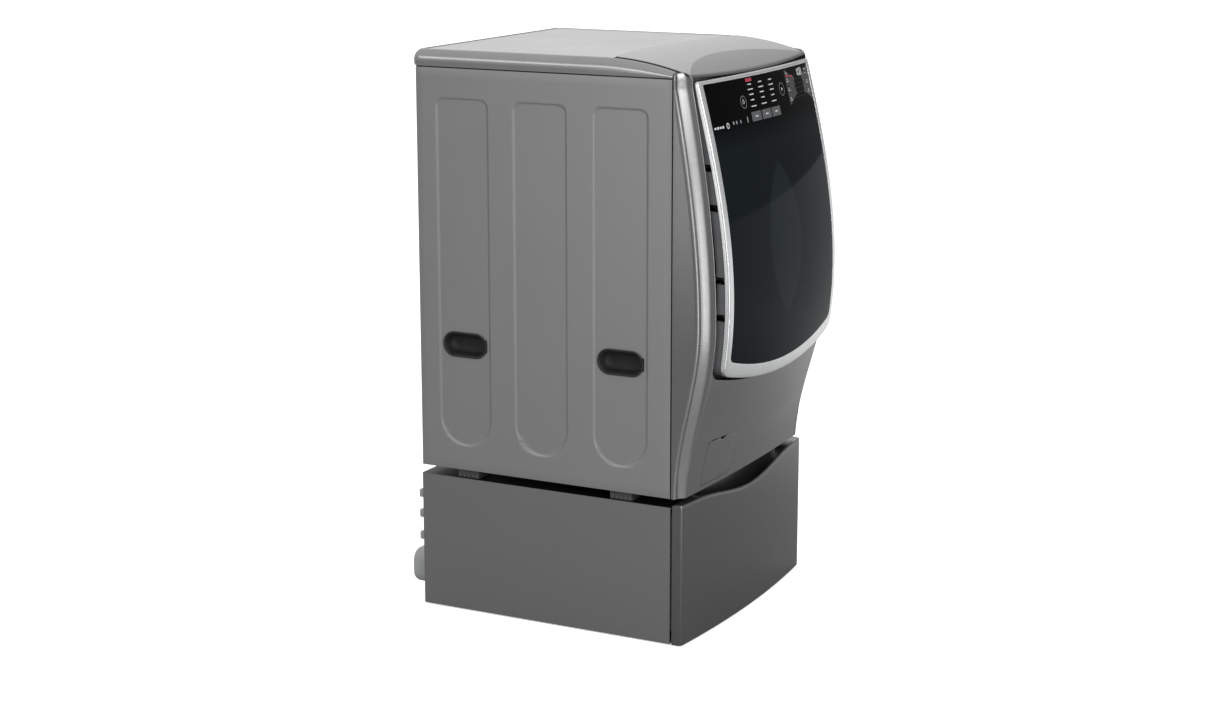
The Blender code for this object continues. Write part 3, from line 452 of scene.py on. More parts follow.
def smoked_glass(name):
    """Curved tempered glass, printed black behind: deep blue-black, a clearer lens-shaped field where the
    bowl and its rim overlap, and a hard polish."""
    made, tree, shader = finish(name, "#0d1114", 0.045, 0.0, IOR=1.075)
    place = add(tree, "ShaderNodeTexCoord").outputs["Object"]
    flat = add(tree, "ShaderNodeVectorMath", {0: place}, operation="MULTIPLY")
    flat.inputs[1].default_value = (1.0, 0.0, 1.0)
    ends = []
    for x in (-0.1625, 0.1225):
        away = add(tree, "ShaderNodeVectorMath", {0: flat.outputs["Vector"]}, operation="DISTANCE")
        away.inputs[1].default_value = (x, 0.0, 0.975)
        ends.append(away.outputs["Value"])
    lens = add(tree, "ShaderNodeMath", {0: ends[0], 1: ends[1]}, operation="MAXIMUM")
    # Painted light: inside the lens the glass is painted lighter, standing in for the lit bowl seen through
    # it.
    ramp = add(tree, "ShaderNodeValToRGB", {"Fac": lens.outputs[0]})
    ramp.color_ramp.elements[0].position = 0.2300
    ramp.color_ramp.elements[0].color = linear("#191f22")
    ramp.color_ramp.elements[1].position = 0.2420
    ramp.color_ramp.elements[1].color = linear("#101518")
    high = add(tree, "ShaderNodeSeparateXYZ", {"Vector": place})
    band = add(tree, "ShaderNodeMapRange", {"Value": high.outputs["Z"]},
               inputs={"From Min": 1.215, "From Max": 1.275, "To Min": 0.0, "To Max": 1.0})
    mix = add(tree, "ShaderNodeMix", {"Factor": band.outputs["Result"]}, data_type="RGBA")
    # The colour sockets of a Mix node in RGBA mode are its last A and B.
    tree.links.new(ramp.outputs["Color"], mix.inputs[6])
    mix.inputs[7].default_value = linear("#030303")
    tree.links.new(mix.outputs[2], shader.inputs["Base Color"])
    vary(tree, shader, pattern(tree, (30, 30, 30), 2), 0.035, 0.055, "Roughness")
    return made


def clear_glass(name, tint="#dfe8ea"):
    """Pressed borosilicate or clear moulding: thin, polished, a faint green edge."""
    made, tree, shader = finish(name, tint, 0.04, 0.0, IOR=1.47, Transmission_Weight=0.9)
    vary(tree, shader, pattern(tree, (40, 40, 40), 2), 0.03, 0.07, "Roughness")
    return made


def perforated(name, low, high, roughness, pitch, hole, radius, axis, middle):
    """Stainless drum wall: a brushed field with punched holes, drawn as dark dots on a staggered grid
    of real pitch, wound round the axis at the wall's radius."""
    made, tree, shader = finish(name, low, roughness, 0.95)
    place = add(tree, "ShaderNodeTexCoord").outputs["Object"]
    split = add(tree, "ShaderNodeSeparateXYZ", {"Vector": place})

    def maths(operation, a, b=None):
        made_ = add(tree, "ShaderNodeMath", operation=operation)
        for k, value in enumerate((a, b)):
            if value is None:
                continue
            if isinstance(value, (int, float)):
                made_.inputs[k].default_value = value
            else:
                tree.links.new(value, made_.inputs[k])
        return made_.outputs[0]

    across, along = ("Z", "Y") if axis == "y" else ("Y", "Z")
    beside = maths("SUBTRACT", split.outputs["X"], middle[0])
    above = maths("SUBTRACT", split.outputs[across], middle[1])
    wound = maths("MULTIPLY", maths("ARCTAN2", above, beside), radius)
    u = maths("DIVIDE", maths("ADD", wound, 10.0), pitch)
    v = maths("DIVIDE", maths("ADD", split.outputs[along], 1.0), pitch * 0.866)
    row = maths("FLOOR", v)
    shift = maths("MULTIPLY", maths("MODULO", row, 2.0), 0.5)
    fu = maths("SUBTRACT", maths("FRACT", maths("ADD", u, shift)), 0.5)
    fv = maths("MULTIPLY", maths("SUBTRACT", maths("FRACT", v), 0.5), 0.866)
    away = maths("SQRT", maths("ADD", maths("MULTIPLY", fu, fu), maths("MULTIPLY", fv, fv)))
    dot = add(tree, "ShaderNodeMapRange", {"Value": away},
              inputs={"From Min": hole / pitch / 2 * 0.85, "From Max": hole / pitch / 2 * 1.15,
                      "To Min": 0.0, "To Max": 1.0}).outputs["Result"]
    ramp = add(tree, "ShaderNodeValToRGB", {"Fac": dot})
    ramp.color_ramp.elements[0].color = linear("#0b0b0c")
    ramp.color_ramp.elements[1].color = linear(high)
    tree.links.new(ramp.outputs["Color"], shader.inputs["Base Color"])
    bump(tree, shader, dot, 0.0006, 0.8)
    vary(tree, shader, pattern(tree, (9, 900, 9), 3), roughness - 0.05, roughness + 0.08, "Roughness")
    return made


def lit(name, colour, strength):
    """A back-lit mark: ink with its own light, slightly uneven like a real light guide."""
    made, tree, shader = finish(name, colour, 0.4)
    shader.inputs["Emission Color"].default_value = linear(colour)
    shader.inputs["Emission Strength"].default_value = strength
    vary(tree, shader, pattern(tree, (500, 500, 500), 2), strength * 0.8, strength * 1.1,
         "Emission Strength")
    return made


PAINT = {}


def mix_paints():
    """Every finish, each named for what the real surface is."""
    PAINT.update(
        side=painted_steel("graphite_paint_on_sheet", "#7a7a7a", "#808080", 0.42, 0.45),
        pedestal=shaded_on_top("dark_graphite_paint_painted_shade_on_top", "#686868", "#6e6e6e", 0.42, 0.45),
        brushed=brushed_steel("tinted_stainless_level_grain", "#757575", "#787878", 0.29, 0.3),
        brushed_dark=brushed_steel("dark_tinted_stainless_level_grain", "#676767", "#6a6a6a", 0.29, 0.3),
        silver=satin_metal("satin_anodised_trim", "#c8c9ca", "#cecfd0", 0.24, 0.85),
        top=satin_metal("silver_grey_metallic_paint", "#8a8a8a", "#909090", 0.20, 0.75),
        lid=shaded_before_crease("silver_grey_metallic_paint_shaded_before_crease", "#8e8e8e", "#969696", 0.24, 0.7),
        inset=painted_steel("light_grey_satin_paint", "#b2b2b2", "#b7b7b7", 0.34, 0.45),
        glass=smoked_glass("smoked_tempered_glass"),
        clear=clear_glass("pressed_clear_glass"),
        grey=moulded("grey_moulded_abs", "#444547", "#4a4b4d", 0.55),
        cup=moulded("dark_grey_moulded_abs", "#070708", "#0a0a0b", 0.7),
        black=moulded("black_moulded_abs", "#141414", "#1a1a1a", 0.5),
        # Painted shade: near-black for the base frame and for the strips in the top's joints, because those
        # gaps lie in shade.
        gap=moulded("black_standing_in_for_gap_shade", "#060606", "#0a0a0a", 0.8),
        white=moulded("white_moulded_polypropylene", "#d9d9d6", "#e0e0de", 0.4),
        light=moulded("light_grey_moulded_abs", "#8f9090", "#989999", 0.45),
        tub=moulded("glass_filled_polypropylene", "#8a8b8c", "#959697", 0.55),
        rubber=moulded("grey_boot_rubber", "#4a4b4d", "#525355", 0.6, 900),
        steel=satin_metal("stainless_sheet", "#b5b6b8", "#c0c1c3", 0.24, 1.0),
        wall=perforated("punched_stainless", "#a9aaac", "#b9babc", 0.25, 0.0178, 0.0045, 0.272, "y",
                        (0.0, DRUM_Z)),
        mini_wall=perforated("punched_stainless_small_drum", "#a9aaac", "#b9babc", 0.25, 0.0174, 0.0045,
                             0.225, "z", (0.0, SEAM + MINI_Y)),
        cast=satin_metal("cast_aluminium", "#8f9092", "#9fa0a2", 0.5, 0.9, 700),
        zinc=satin_metal("bright_zinc_plate", "#a5a8ac", "#b5b8bb", 0.32, 0.95),
        copper=satin_metal("varnished_copper_winding", "#8a4a22", "#a05a2c", 0.35, 0.8),
        concrete=moulded("cast_weight", "#7d7c79", "#8b8a86", 0.9, 300, 0.0003),
        foot=moulded("dark_rubber_foot", "#2a2b2d", "#313234", 0.6),
        board=moulded("green_circuit_board", "#10301c", "#153a22", 0.4),
        mark=lit("back_lit_white_mark", "#a9acb0", 0.18),
        dim=lit("dim_white_mark", "#707377", 0.10),
        red=lit("back_lit_red_mark", "#84142c", 0.25),
        key=moulded("grey_key_print", "#3c3d40", "#424346", 0.35),
        field=moulded("unlit_display_print", "#0e0e12", "#121217", 0.25),
    )


CAD_PAINTS = {
    # Painted shade: the base frame is painted near-black, as it shows only in the dark gap under the washer.
    "gap": "base_frame",
    "black": "control_board door_lock",
    "concrete": "counterweight_lower counterweight_upper",
    "cup": "damper_left damper_right rotor filter_cap",
    "white": "detergent_tray drain_pump inlet_valve pulsator",
    "steel": "door_latch",
    "grey": "door_pocket door_shell",
    "light": "drawer_box",
    "zinc": "hinge_lower hinge_upper slide_left slide_right spring_left spring_right",
    "pedestal": "pedestal_cabinet",
    "side": "rear_panel service_cover",
    "cast": "spider_shaft",
    "copper": "stator",
    "board": "touch_board",
    "tub": "tub_front tub_rear",
    "foot": "clip_left_front clip_left_rear clip_right_front clip_right_rear",
}


# ---------------------------------------------------------------- cabinet

def column_distance(y, z, middle):
    """Signed distance to a pressed column: a box with round top corners over a half-round foot."""
    half, r, top, low = 0.072, 0.020, 1.313, 0.510
    qx = np.abs(y - middle) - (half - r)
    qz = z - (top - r)
    box = np.hypot(np.maximum(qx, 0), np.maximum(qz, 0)) + np.minimum(np.maximum(qx, qz), 0) - r
    return np.where(z < low, np.hypot(y - middle, z - low) - half, box)


def lift_distance(y, z, middle, grow=0.0):
    """Signed distance to a lift cup's obround mouth."""
    half_y, half_z, r = 0.0585 + grow, 0.028 + grow, 0.0275 + grow
    qy, qz = np.abs(y - middle) - (half_y - r), np.abs(z - 0.698) - (half_z - r)
    return np.hypot(np.maximum(qy, 0), np.maximum(qz, 0)) + np.minimum(np.maximum(qy, qz), 0) - r


def make_side(name, sign):
    """Outer face x = half width less its pressings; edges rolled over with a small radius."""
    edges = [c + s * 0.072 for c in COLUMNS for s in (-1, 1)]
    y = spread(0.0038, SEAM_BACK, 70, edges + [m + s * 0.045 for m in LIFTS for s in (-1, 1)], 0.008, 11)
    z = np.unique(np.concatenate([
        spread(CABINET_LOW, SIDE_TOP, 90, [0.438, 1.313], 0.008, 11), np.linspace(0.43, 0.52, 34),
        np.linspace(0.664, 0.732, 30), np.linspace(1.285, 1.318, 20),
    ]))
    yy, zz = np.meshgrid(y, z, indexing="ij")
    depth = np.zeros_like(yy)
    for middle in COLUMNS:
        d = column_distance(yy, zz, middle)
        depth += 0.0034 * smooth(0.5 - d / 0.0065)
    for middle in LIFTS:
        depth += 0.036 * smooth(-lift_distance(yy, zz, middle, -0.0008) / 0.0012)
    r = 0.0022
    rim = np.minimum.reduce([yy - 0.0038, SEAM_BACK - yy, zz - CABINET_LOW, SIDE_TOP - zz])
    depth += r - np.sqrt(np.maximum(r**2 - np.maximum(r - rim, 0) ** 2, 0))
    x = sign * (HALF - depth)
    face = np.stack([x, yy, zz], -1)
    shape = Shape()
    shape.grid(face, flip=sign > 0)
    for line, flipped in ((face[0], True), (face[-1], False)):
        back = line.copy()
        back[:, 0] = sign * (HALF - 0.020)
        shape.grid(np.stack([line, back]), flip=flipped ^ (sign > 0))
    for line, flipped in ((face[:, 0], False), (face[:, -1], True)):
        back = line.copy()
        back[:, 0] = sign * (HALF - 0.012)
        shape.grid(np.stack([line, back]), flip=flipped ^ (sign > 0))
    shape.make(f"side_skin_{name}", "side", "cabinet", "sheet", [f"side_panel_{name}"])
    for where, middle in zip(("front", "rear"), LIFTS):
        rows = []
        profile = rounded_path(
            [(0.0042, 0.0004), (0.0038, -0.0006), (0.0008, -0.0012), (-0.0018, 0.0020), (-0.0060, 0.024),
             (-0.0160, 0.031), (-0.0265, 0.0315)], 0.0035, 3)
        for grow, deep in profile:
            ring = obround(middle, 0.698, 0.0585 + grow, 0.028 + grow, max(0.0275 + grow, 0.0008), 72)
            rows.append(np.column_stack([np.full(72, sign * (HALF - deep)), ring]))
        cup = Shape()
        cup.grid(np.array(rows), wrap_v=True, flip=sign > 0)
        cup.fan(rows[-1], flip=sign > 0)
        cup.make(f"lift_cup_skin_{name}_{where}", "cup", "cabinet", "dark", [f"lift_cup_{name}_{where}"])


def panel_side(z, x_sign):
    """The column beside the door in plan, seam to lip and back into the pocket, at heights z."""
    z = np.asarray(z, float)
    p, e = corner_y(z), panel_rise(z)
    r = np.minimum(0.013, 0.7 * p)
    step = np.minimum(e, 0.019) * 0.97
    rows = [(HALF - 0.012 + 0 * z, 0.0012 + 0 * z), (HALF - 0.0012 + 0 * z, 0.0 * z),
            (HALF + 0 * z, -0.0012 + 0 * z)]
    for k in range(9):
        angle = math.pi / 2 * k / 8
        rows.append((HALF - 0.010 * (1 - math.cos(angle)), -(p - r + r * math.sin(angle))))
    # From the rounded corner a face slants in to the lip, a little hollow.
    for k in range(1, 6):
        t = k / 5
        rows.append((0.3585 - 0.0153 * t, -p - step * (t ** 1.15)))
    rows += [
        (0.3427 + 0 * z, -p - step - 0.0012), (0.3425 + 0 * z, -p - e + 0.0012),
        (0.3420 + 0 * z, -p - e + 0.0002),
        (0.3415 + 0 * z, -p - e - 0.0003),
    ]
    points = [np.stack([x_sign * (x + 0 * z), y, z], -1) for x, y in rows]
    return np.stack(points, 0)


def opening_low(x, grow=POCKET_GAP):
    """Lower edge of the door opening: a hanging parabola, turned up in a corner arc at each side."""
    half, corner = DOOR_HALF + grow, 0.028
    low = DOOR_LOW + DOOR_SMILE - grow
    x = np.abs(np.asarray(x, float))
    flat = low - DOOR_SMILE * (1 - np.minimum(x / half, 1) ** 2)
    inside = np.clip(x - (half - corner), 0, corner)
    return flat + corner - np.sqrt(np.maximum(corner**2 - inside**2, 0))


def evenly(points, count=220):
    """The same closed outline with its points spread evenly along it."""
    closed = np.concatenate([points, points[:1]])
    along = np.concatenate([[0], np.cumsum(np.linalg.norm(np.diff(closed, axis=0), axis=1))])
    at = np.linspace(0, along[-1], count, endpoint=False)
    return np.stack([np.interp(at, along, closed[:, k]) for k in range(points.shape[1])], -1)


def make_front(_=None):
    """Columns and apron of the front panel, one skin."""
    corner_z = float(opening_low(0.3415))
    low_rows = CABINET_LOW + (corner_z - CABINET_LOW) * spread(0, 1, 70, [0.040, 0.462], 0.009, 14)
    rows = np.concatenate([low_rows, np.linspace(corner_z, SIDE_TOP - 0.006, 110)[1:]])
    shape = Shape()
    for sign in (-1, 1):
        side = panel_side(rows, sign)
        # The head of each column rounds over to its seam and to the lid.
        turn = np.linspace(0, math.pi / 2, 10)[1:]
        heads = []
        for angle in turn:
            ring = side[:, -1].copy()
            lean = 1 - math.cos(angle)
            ring[:, 0] += (sign * 0.3530 - ring[:, 0]) * 0.62 * lean
            ring[:, 1] = ring[:, 1] * (1 - 0.60 * lean) + 0.0006 * lean
            ring[:, 2] += 0.0225 * math.sin(angle)
            heads.append(ring)
        side = np.concatenate([side, np.stack(heads, 1)], 1)
        shape.grid(side, flip=sign > 0)
        shape.fan(side[:, -1], flip=sign > 0)
        lip = side[-1][len(low_rows) - 1:]
        back = lip * (1, 0, 1) - (0, 0.0005, 0) + lip * (0, 0.25, 0)
        shape.grid(np.stack([lip, back], 0), flip=sign > 0)
    u = np.unique(np.concatenate([
        np.linspace(-0.3415, 0.3415, 60), -0.3415 + 0.030 * (1 - np.cos(np.linspace(0, math.pi / 2, 14))),
        0.3415 - 0.030 * (1 - np.cos(np.linspace(0, math.pi / 2, 14))),
        spread(-0.28, -0.09, 10, [-0.2679, -0.1101], 0.0024, 14),
    ]))
    v = (low_rows - CABINET_LOW) / (corner_z - CABINET_LOW)
    uu, vv = np.meshgrid(u, v, indexing="ij")
    zz = CABINET_LOW + vv * (opening_low(uu) - CABINET_LOW)
    yy = apron_y(uu, zz)
    # The service flap sits in a shallow seat, as wide as the flap and its gap.
    qx, qz = np.abs(uu + 0.189) - (0.0789 - 0.012), np.abs(zz - 0.440) - (0.0563 - 0.012)
    d = np.hypot(np.maximum(qx, 0), np.maximum(qz, 0)) + np.minimum(np.maximum(qx, qz), 0) - 0.012
    yy = yy + 0.012 * smooth(-d / 0.0016)
    face = np.stack([uu, yy, zz], -1)
    shape.grid(face)
    lip = face[:, -1]
    shape.grid(np.stack([lip, lip + np.array([0, 0.022, 0.0])], 1))
    foot = face[:, 0]
    shape.grid(np.stack([foot, foot + np.array([0, 0.014, 0.001])], 1), flip=True)
    shape.make("front_skin", "brushed", "cabinet", "brushed", ["front_panel"])


def make_flap(_=None):
    """Service flap: the apron's own surface inside a rounded outline, with a small finger notch."""
    outline = evenly(obround(-0.189, 0.440, 0.0780, 0.0555, 0.0115))
    notch = np.exp(-(((outline[:, 0] + 0.184) / 0.0135) ** 6)) * (outline[:, 1] > 0.440)
    outline[:, 1] -= 0.0060 * notch
    middle = np.array([-0.189, 0.440])
    rows = []
    for share, back in ((1.0, 0.006), (1.0, 0.0012), (0.9965, 0.0003), (0.985, 0.0), (0.8, 0.0), (0.5, 0.0),
                        (0.2, 0.0)):
        at = middle + (outline - middle) * share
        rows.append(np.column_stack([at[:, 0], apron_y(at[:, 0], at[:, 1]) + back, at[:, 1]]))
    shape = Shape()
    shape.grid(np.array(rows), wrap_v=True, flip=True)
    shape.fan(rows[-1], flip=True)
    shape.make("service_flap_skin", "brushed", "service_flap", "brushed", ["service_flap"])


# ---------------------------------------------------------------- top

def rail_profile(drop):
    """The bullnose rail in section: (distance in, height) for each drop of its top."""
    high, low = TOP - 0.0025 - drop, SIDE_TOP + 0.0034
    tall = high - low
    angle = np.linspace(0, math.pi / 2, 12)
    rows = [(0.0030 + 0 * tall, low + 0.001), (-0.0022 + 0 * tall, low), (-0.0030 + 0 * tall, low + 0.0015)]
    rows += [(-0.0045 + 0 * tall, low + 0.25 * tall)]
    rows += [(-0.0045 + 0.0245 * (1 - math.cos(a)),
              low + 0.25 * tall + 0.75 * tall * math.sin(a)) for a in angle[1:]]
    rows += [(0.0222 + 0 * tall, high - 0.0004), (0.0228 + 0 * tall, high - 0.0014),
             (0.0228 + 0 * tall, low)]
    return rows


def make_top(_=None):
    """Rail, lid and rear panel of the top."""
    stations = [(-HALF, y, 1.0, 0.0, 0.68 * max(0.0, 0.2 - y) ** 2) for y in np.linspace(0.0006, 0.2, 26)]
    stations.append((-HALF, 0.45, 1.0, 0.0, 0.0))
    r, back = 0.030, SEAM_BACK + RAIL_BACK
    for k in range(13):
        a = math.pi / 2 * k / 12
        stations.append((-HALF + r - r * math.cos(a), back - r + r * math.sin(a), math.cos(a), -math.sin(a),
                         0.0))
    stations += [(-x, y, -ix, iy, drop) for x, y, ix, iy, drop in reversed(stations)]
    rows = []
    for x, y, ix, iy, drop in stations:
        section = np.array([(d, z) for d, z in rail_profile(np.array(drop))], float)
        rows.append(np.column_stack([x + ix * section[:, 0], y + iy * section[:, 0], section[:, 1]]))
    rows = np.array(rows)
    rail = Shape().grid(rows, wrap_v=True)
    rail.fan(rows[0])
    rail.fan(rows[-1], flip=True)
    rail.make("top_rail_skin", "top", "cabinet", "silver_dark", ["top_rail"], flip=True)

    u = np.concatenate([[-0.3426, -0.3424, -0.3418, -0.3406], np.linspace(-0.339, 0.339, 60),
                        [0.3406, 0.3418, 0.3424, 0.3426]])
    edge = np.array([0.0030, 0.0016, 0.0006, 0.0001] + [0.0] * 60 + [0.0001, 0.0006, 0.0016, 0.0030])
    v = np.concatenate([[0, 0.004, 0.010, 0.018], np.linspace(0.03, 0.985, 44), [0.994, 1.0]])
    roll = np.interp(v, [0, 0.004, 0.010, 0.018, 0.03], [0.0050, 0.0028, 0.0012, 0.0004, 0])
    roll += np.interp(v, [0.985, 0.994, 1.0], [0, 0.0004, 0.0016])
    uu, vv = np.meshgrid(u, v, indexing="ij")
    front, back = lid_front(uu), seam_line(uu) - 0.0045
    yy = front + (back - front) * vv
    zz = lid_z(uu, yy) - np.maximum(edge[:, None], roll[None])
    lid = Shape().slab(np.stack([uu, yy, zz], -1), 0.0030)
    lid.make("dispenser_lid_skin", "lid", "dispenser_lid", "silver_dark", ["dispenser_lid"])

    corner = np.maximum(np.abs(uu) - 0.3364, 0)
    front, back = seam_line(uu) + 0.0045, SEAM_BACK + RAIL_BACK - 0.0300 + np.sqrt(0.0064**2 - corner**2)
    yy = front + (back - front) * vv
    fall = np.maximum(edge[:, None], roll[None] * 0.3)
    swell = 0.0012 * np.sin(np.pi * np.clip(vv, 0, 1)) * np.cos(np.pi * uu / 0.7)
    zz = TOP - 0.0040 - fall + swell
    inset = Shape().slab(np.stack([uu, yy, zz], -1), 0.004)
    inset.make("top_panel_skin", "inset", "cabinet", "inset", ["top_panel"])
    make_top_gap_shade_strips()


def make_top_gap_shade_strips():
    """Black seals: along the joint of lid and top panel, beside the top panel, and under the rail."""
    shade_strips = Shape()
    x = np.linspace(-0.3440, 0.3440, 60)
    rows = []
    for across, down in ((-0.0043, 0.0042), (-0.0043, 0.0007), (0.0043, 0.0007), (0.0043, 0.0042)):
        y = seam_line(x) + across
        rows.append(np.stack([x, y, lid_z(x, y) - down - 0.0030 * (across > 0)], -1))
    rows = np.array(rows)
    shade_strips.grid(rows, wrap_u=True)
    shade_strips.fan(rows[:, 0])
    shade_strips.fan(rows[:, -1])
    for side in (-1, 1):
        x0, x1 = sorted((side * (HALF - 0.003), side * (HALF - 0.018)))
        rounded_block(shade_strips, (x0, 0.012, SIDE_TOP - 0.0004), (x1, SEAM_BACK - 0.0010, SIDE_TOP + 0.0040),
                      0.0008, 3)
        x0, x1 = sorted((side * 0.3428, side * 0.3455))
        rounded_block(shade_strips, (x0, 0.215, TOP - 0.0075), (x1, SEAM_BACK - 0.030, TOP - 0.0046), 0.0008, 3)
        y = np.linspace(-0.0300, 0.1600, 40)
        z = lid_z(x0, y)
        band = [np.stack([at + 0 * y, y, z - down], -1)
                for at, down in ((x0, 0.004), (x0, 0.0007), (x1, 0.0007), (x1, 0.004))]
        shade_strips.grid(np.array(band), wrap_u=True)
        shade_strips.fan(np.array(band)[:, 0])
        shade_strips.fan(np.array(band)[:, -1])
    rounded_block(shade_strips, (-HALF + 0.020, SEAM_BACK - 0.012, SIDE_TOP - 0.0004),
                  (HALF - 0.020, SEAM_BACK + 0.0080, SIDE_TOP + 0.0040),
                  0.0008, 3)
    shade_strips.make("top_gap_shade_strips", "gap", "cabinet", "black", outward=True)


# ---------------------------------------------------------------- door

def door_outline(inset, n_side=60, n_low=70, n_top=40, corner=0.024, top_corner=0.007):
    """(x, z) round the door, inset from its edge by more at the foot and less at the head."""
    half = DOOR_HALF - inset
    low = DOOR_LOW + DOOR_SMILE + 1.53 * inset
    high = DOOR_TOP - 0.40 * inset
    corner = max(0.011, corner - 0.5 * inset)
    top_corner = max(0.003, top_corner - 0.15 * inset)
    arc = np.linspace(0, math.pi / 2, 9)
    parts = [
        np.stack([-half + corner - corner * np.cos(arc), low + corner - corner * np.sin(arc)], -1),
        np.stack([np.linspace(-half + corner, half - corner, n_low)[1:-1], np.full(n_low - 2, low)], -1),
        np.stack([half - corner + corner * np.sin(arc), low + corner - corner * np.cos(arc)], -1),
        np.stack([np.full(n_side - 2, half), np.linspace(low + corner, high - top_corner, n_side)[1:-1]],
                 -1),
        np.stack([half - top_corner + top_corner * np.cos(arc[::2]),
                  high - top_corner + top_corner * np.sin(arc[::2])], -1),
        np.stack([np.linspace(half - top_corner, -half + top_corner, n_top)[1:-1],
                  np.full(n_top - 2, high)], -1),
        np.stack([-half + top_corner - top_corner * np.sin(arc[::2]),
                  high - top_corner + top_corner * np.cos(arc[::2])], -1),
        np.stack([np.full(n_side - 2, -half), np.linspace(high - top_corner, low + corner, n_side)[1:-1]],
                 -1),
    ]
    points = np.concatenate(parts)
    at_sill = smooth((low + 0.03 - points[:, 1]) / 0.03)
    points[:, 1] -= DOOR_SMILE * (1 - (points[:, 0] / half) ** 2) * at_sill
    return points


def door_ring(inset, back):
    flat = door_outline(inset)
    return np.column_stack([flat[:, 0], door_y(flat[:, 0], flat[:, 1]) + back, flat[:, 1]])


def make_door(_=None):
    """Trim frame, glass and bowl of the door."""
    section = rounded_path([(0.0006, 0.0120), (0.0, 0.0), (0.0213, 0.0004), (0.0215, 0.0060)],
                           [0, 0.0052, 0.0012, 0], 6)
    rows = np.array([door_ring(inset, back) for inset, back in section])
    rows = np.concatenate([rows, door_ring(0.004, 0.0118)[None]])
    Shape().grid(rows, wrap_u=True, wrap_v=True, flip=True).make(
        "door_trim_skin", "silver", "door", "silver", ["door_trim"], sharp=50)
    outline = door_outline(0.0217)
    middle = np.array([0.0, 1.03])
    rows = []
    for share, back in [(1.0, 0.0052), (1.0, 0.0018),
                        (0.9985, 0.0012)] + [(s, 0.0010) for s in np.linspace(0.99, 0.02, 34)]:
        at = middle + (outline - middle) * share
        rows.append(np.column_stack([at[:, 0], door_y(at[:, 0], at[:, 1]) + back, at[:, 1]]))
    glass = Shape()
    glass.grid(np.array(rows), wrap_v=True, flip=True)
    glass.fan(rows[-1], flip=True)
    inner = np.array(rows[::-1]) + np.array([0, 0.0042, 0])
    glass.grid(inner[:-3], wrap_v=True, flip=True)
    glass.make("door_glass_skin", "glass", "door", "smoked", ["door_glass"])


# ---------------------------------------------------------------- controls

COLUMN_X = (-0.0895, -0.0290, 0.0315)
COLUMN_Z = (1.3560, 1.3440, 1.3320, 1.3188, 1.3040)
SEGMENTS = {0: "abcdef", 1: "bc", 4: "bcfg", 8: "abcdefg"}
STROKES = {"a": (0, 1, 1, 0), "b": (1, 0.5, 0, 1), "c": (1, -0.5, 0, 1), "d": (0, -1, 1, 0),
           "e": (-1, -0.5, 0, 1), "f": (-1, 0.5, 0, 1), "g": (0, 0, 1, 0)}


def print_patch(shape, x, z, half_x, half_z, corner=0.3, proud=0.0003):
    """A printed mark: a rounded patch of the door's own surface, a hair in front of it."""
    ring = obround(x, z, half_x, half_z, corner * min(half_x, half_z), 16)
    rows = []
    for share, back in ((1.0, 0.0006), (1.0, -proud), (0.5, -proud)):
        at = np.array([x, z]) + (ring - (x, z)) * share
        rows.append(np.column_stack([at[:, 0], door_y(at[:, 0], at[:, 1]) + 0.0010 + back, at[:, 1]]))
    shape.grid(np.array(rows), wrap_v=True, flip=True)
    shape.fan(rows[-1], flip=True)


def print_ring(shape, x, z, outer_x, outer_z, wide, proud=0.0003):
    """A printed ring: four loops between two ellipses on the door's surface."""
    angle = 2 * np.pi * np.arange(56) / 56
    rows = []
    for cut, back in ((0.0, 0.0006), (0.0, -proud), (wide, -proud), (wide, 0.0006)):
        at_x, at_z = x + (outer_x - cut) * np.cos(angle), z + (outer_z - cut) * np.sin(angle)
        rows.append(np.column_stack([at_x, door_y(at_x, at_z) + 0.0010 + back, at_z]))
    shape.grid(np.array(rows), wrap_v=True, flip=True)


def print_digit(shape, x, z, half_x, half_z, value):
    """One seven-stroke digit."""
    for stroke in SEGMENTS[value]:
        du, dv, wide, tall = STROKES[stroke]
        print_patch(shape, x + du * half_x, z + dv * half_z, max(0.0012, wide * half_x * 0.8),
                    max(0.0011, tall * half_z * 0.42), proud=0.0009)


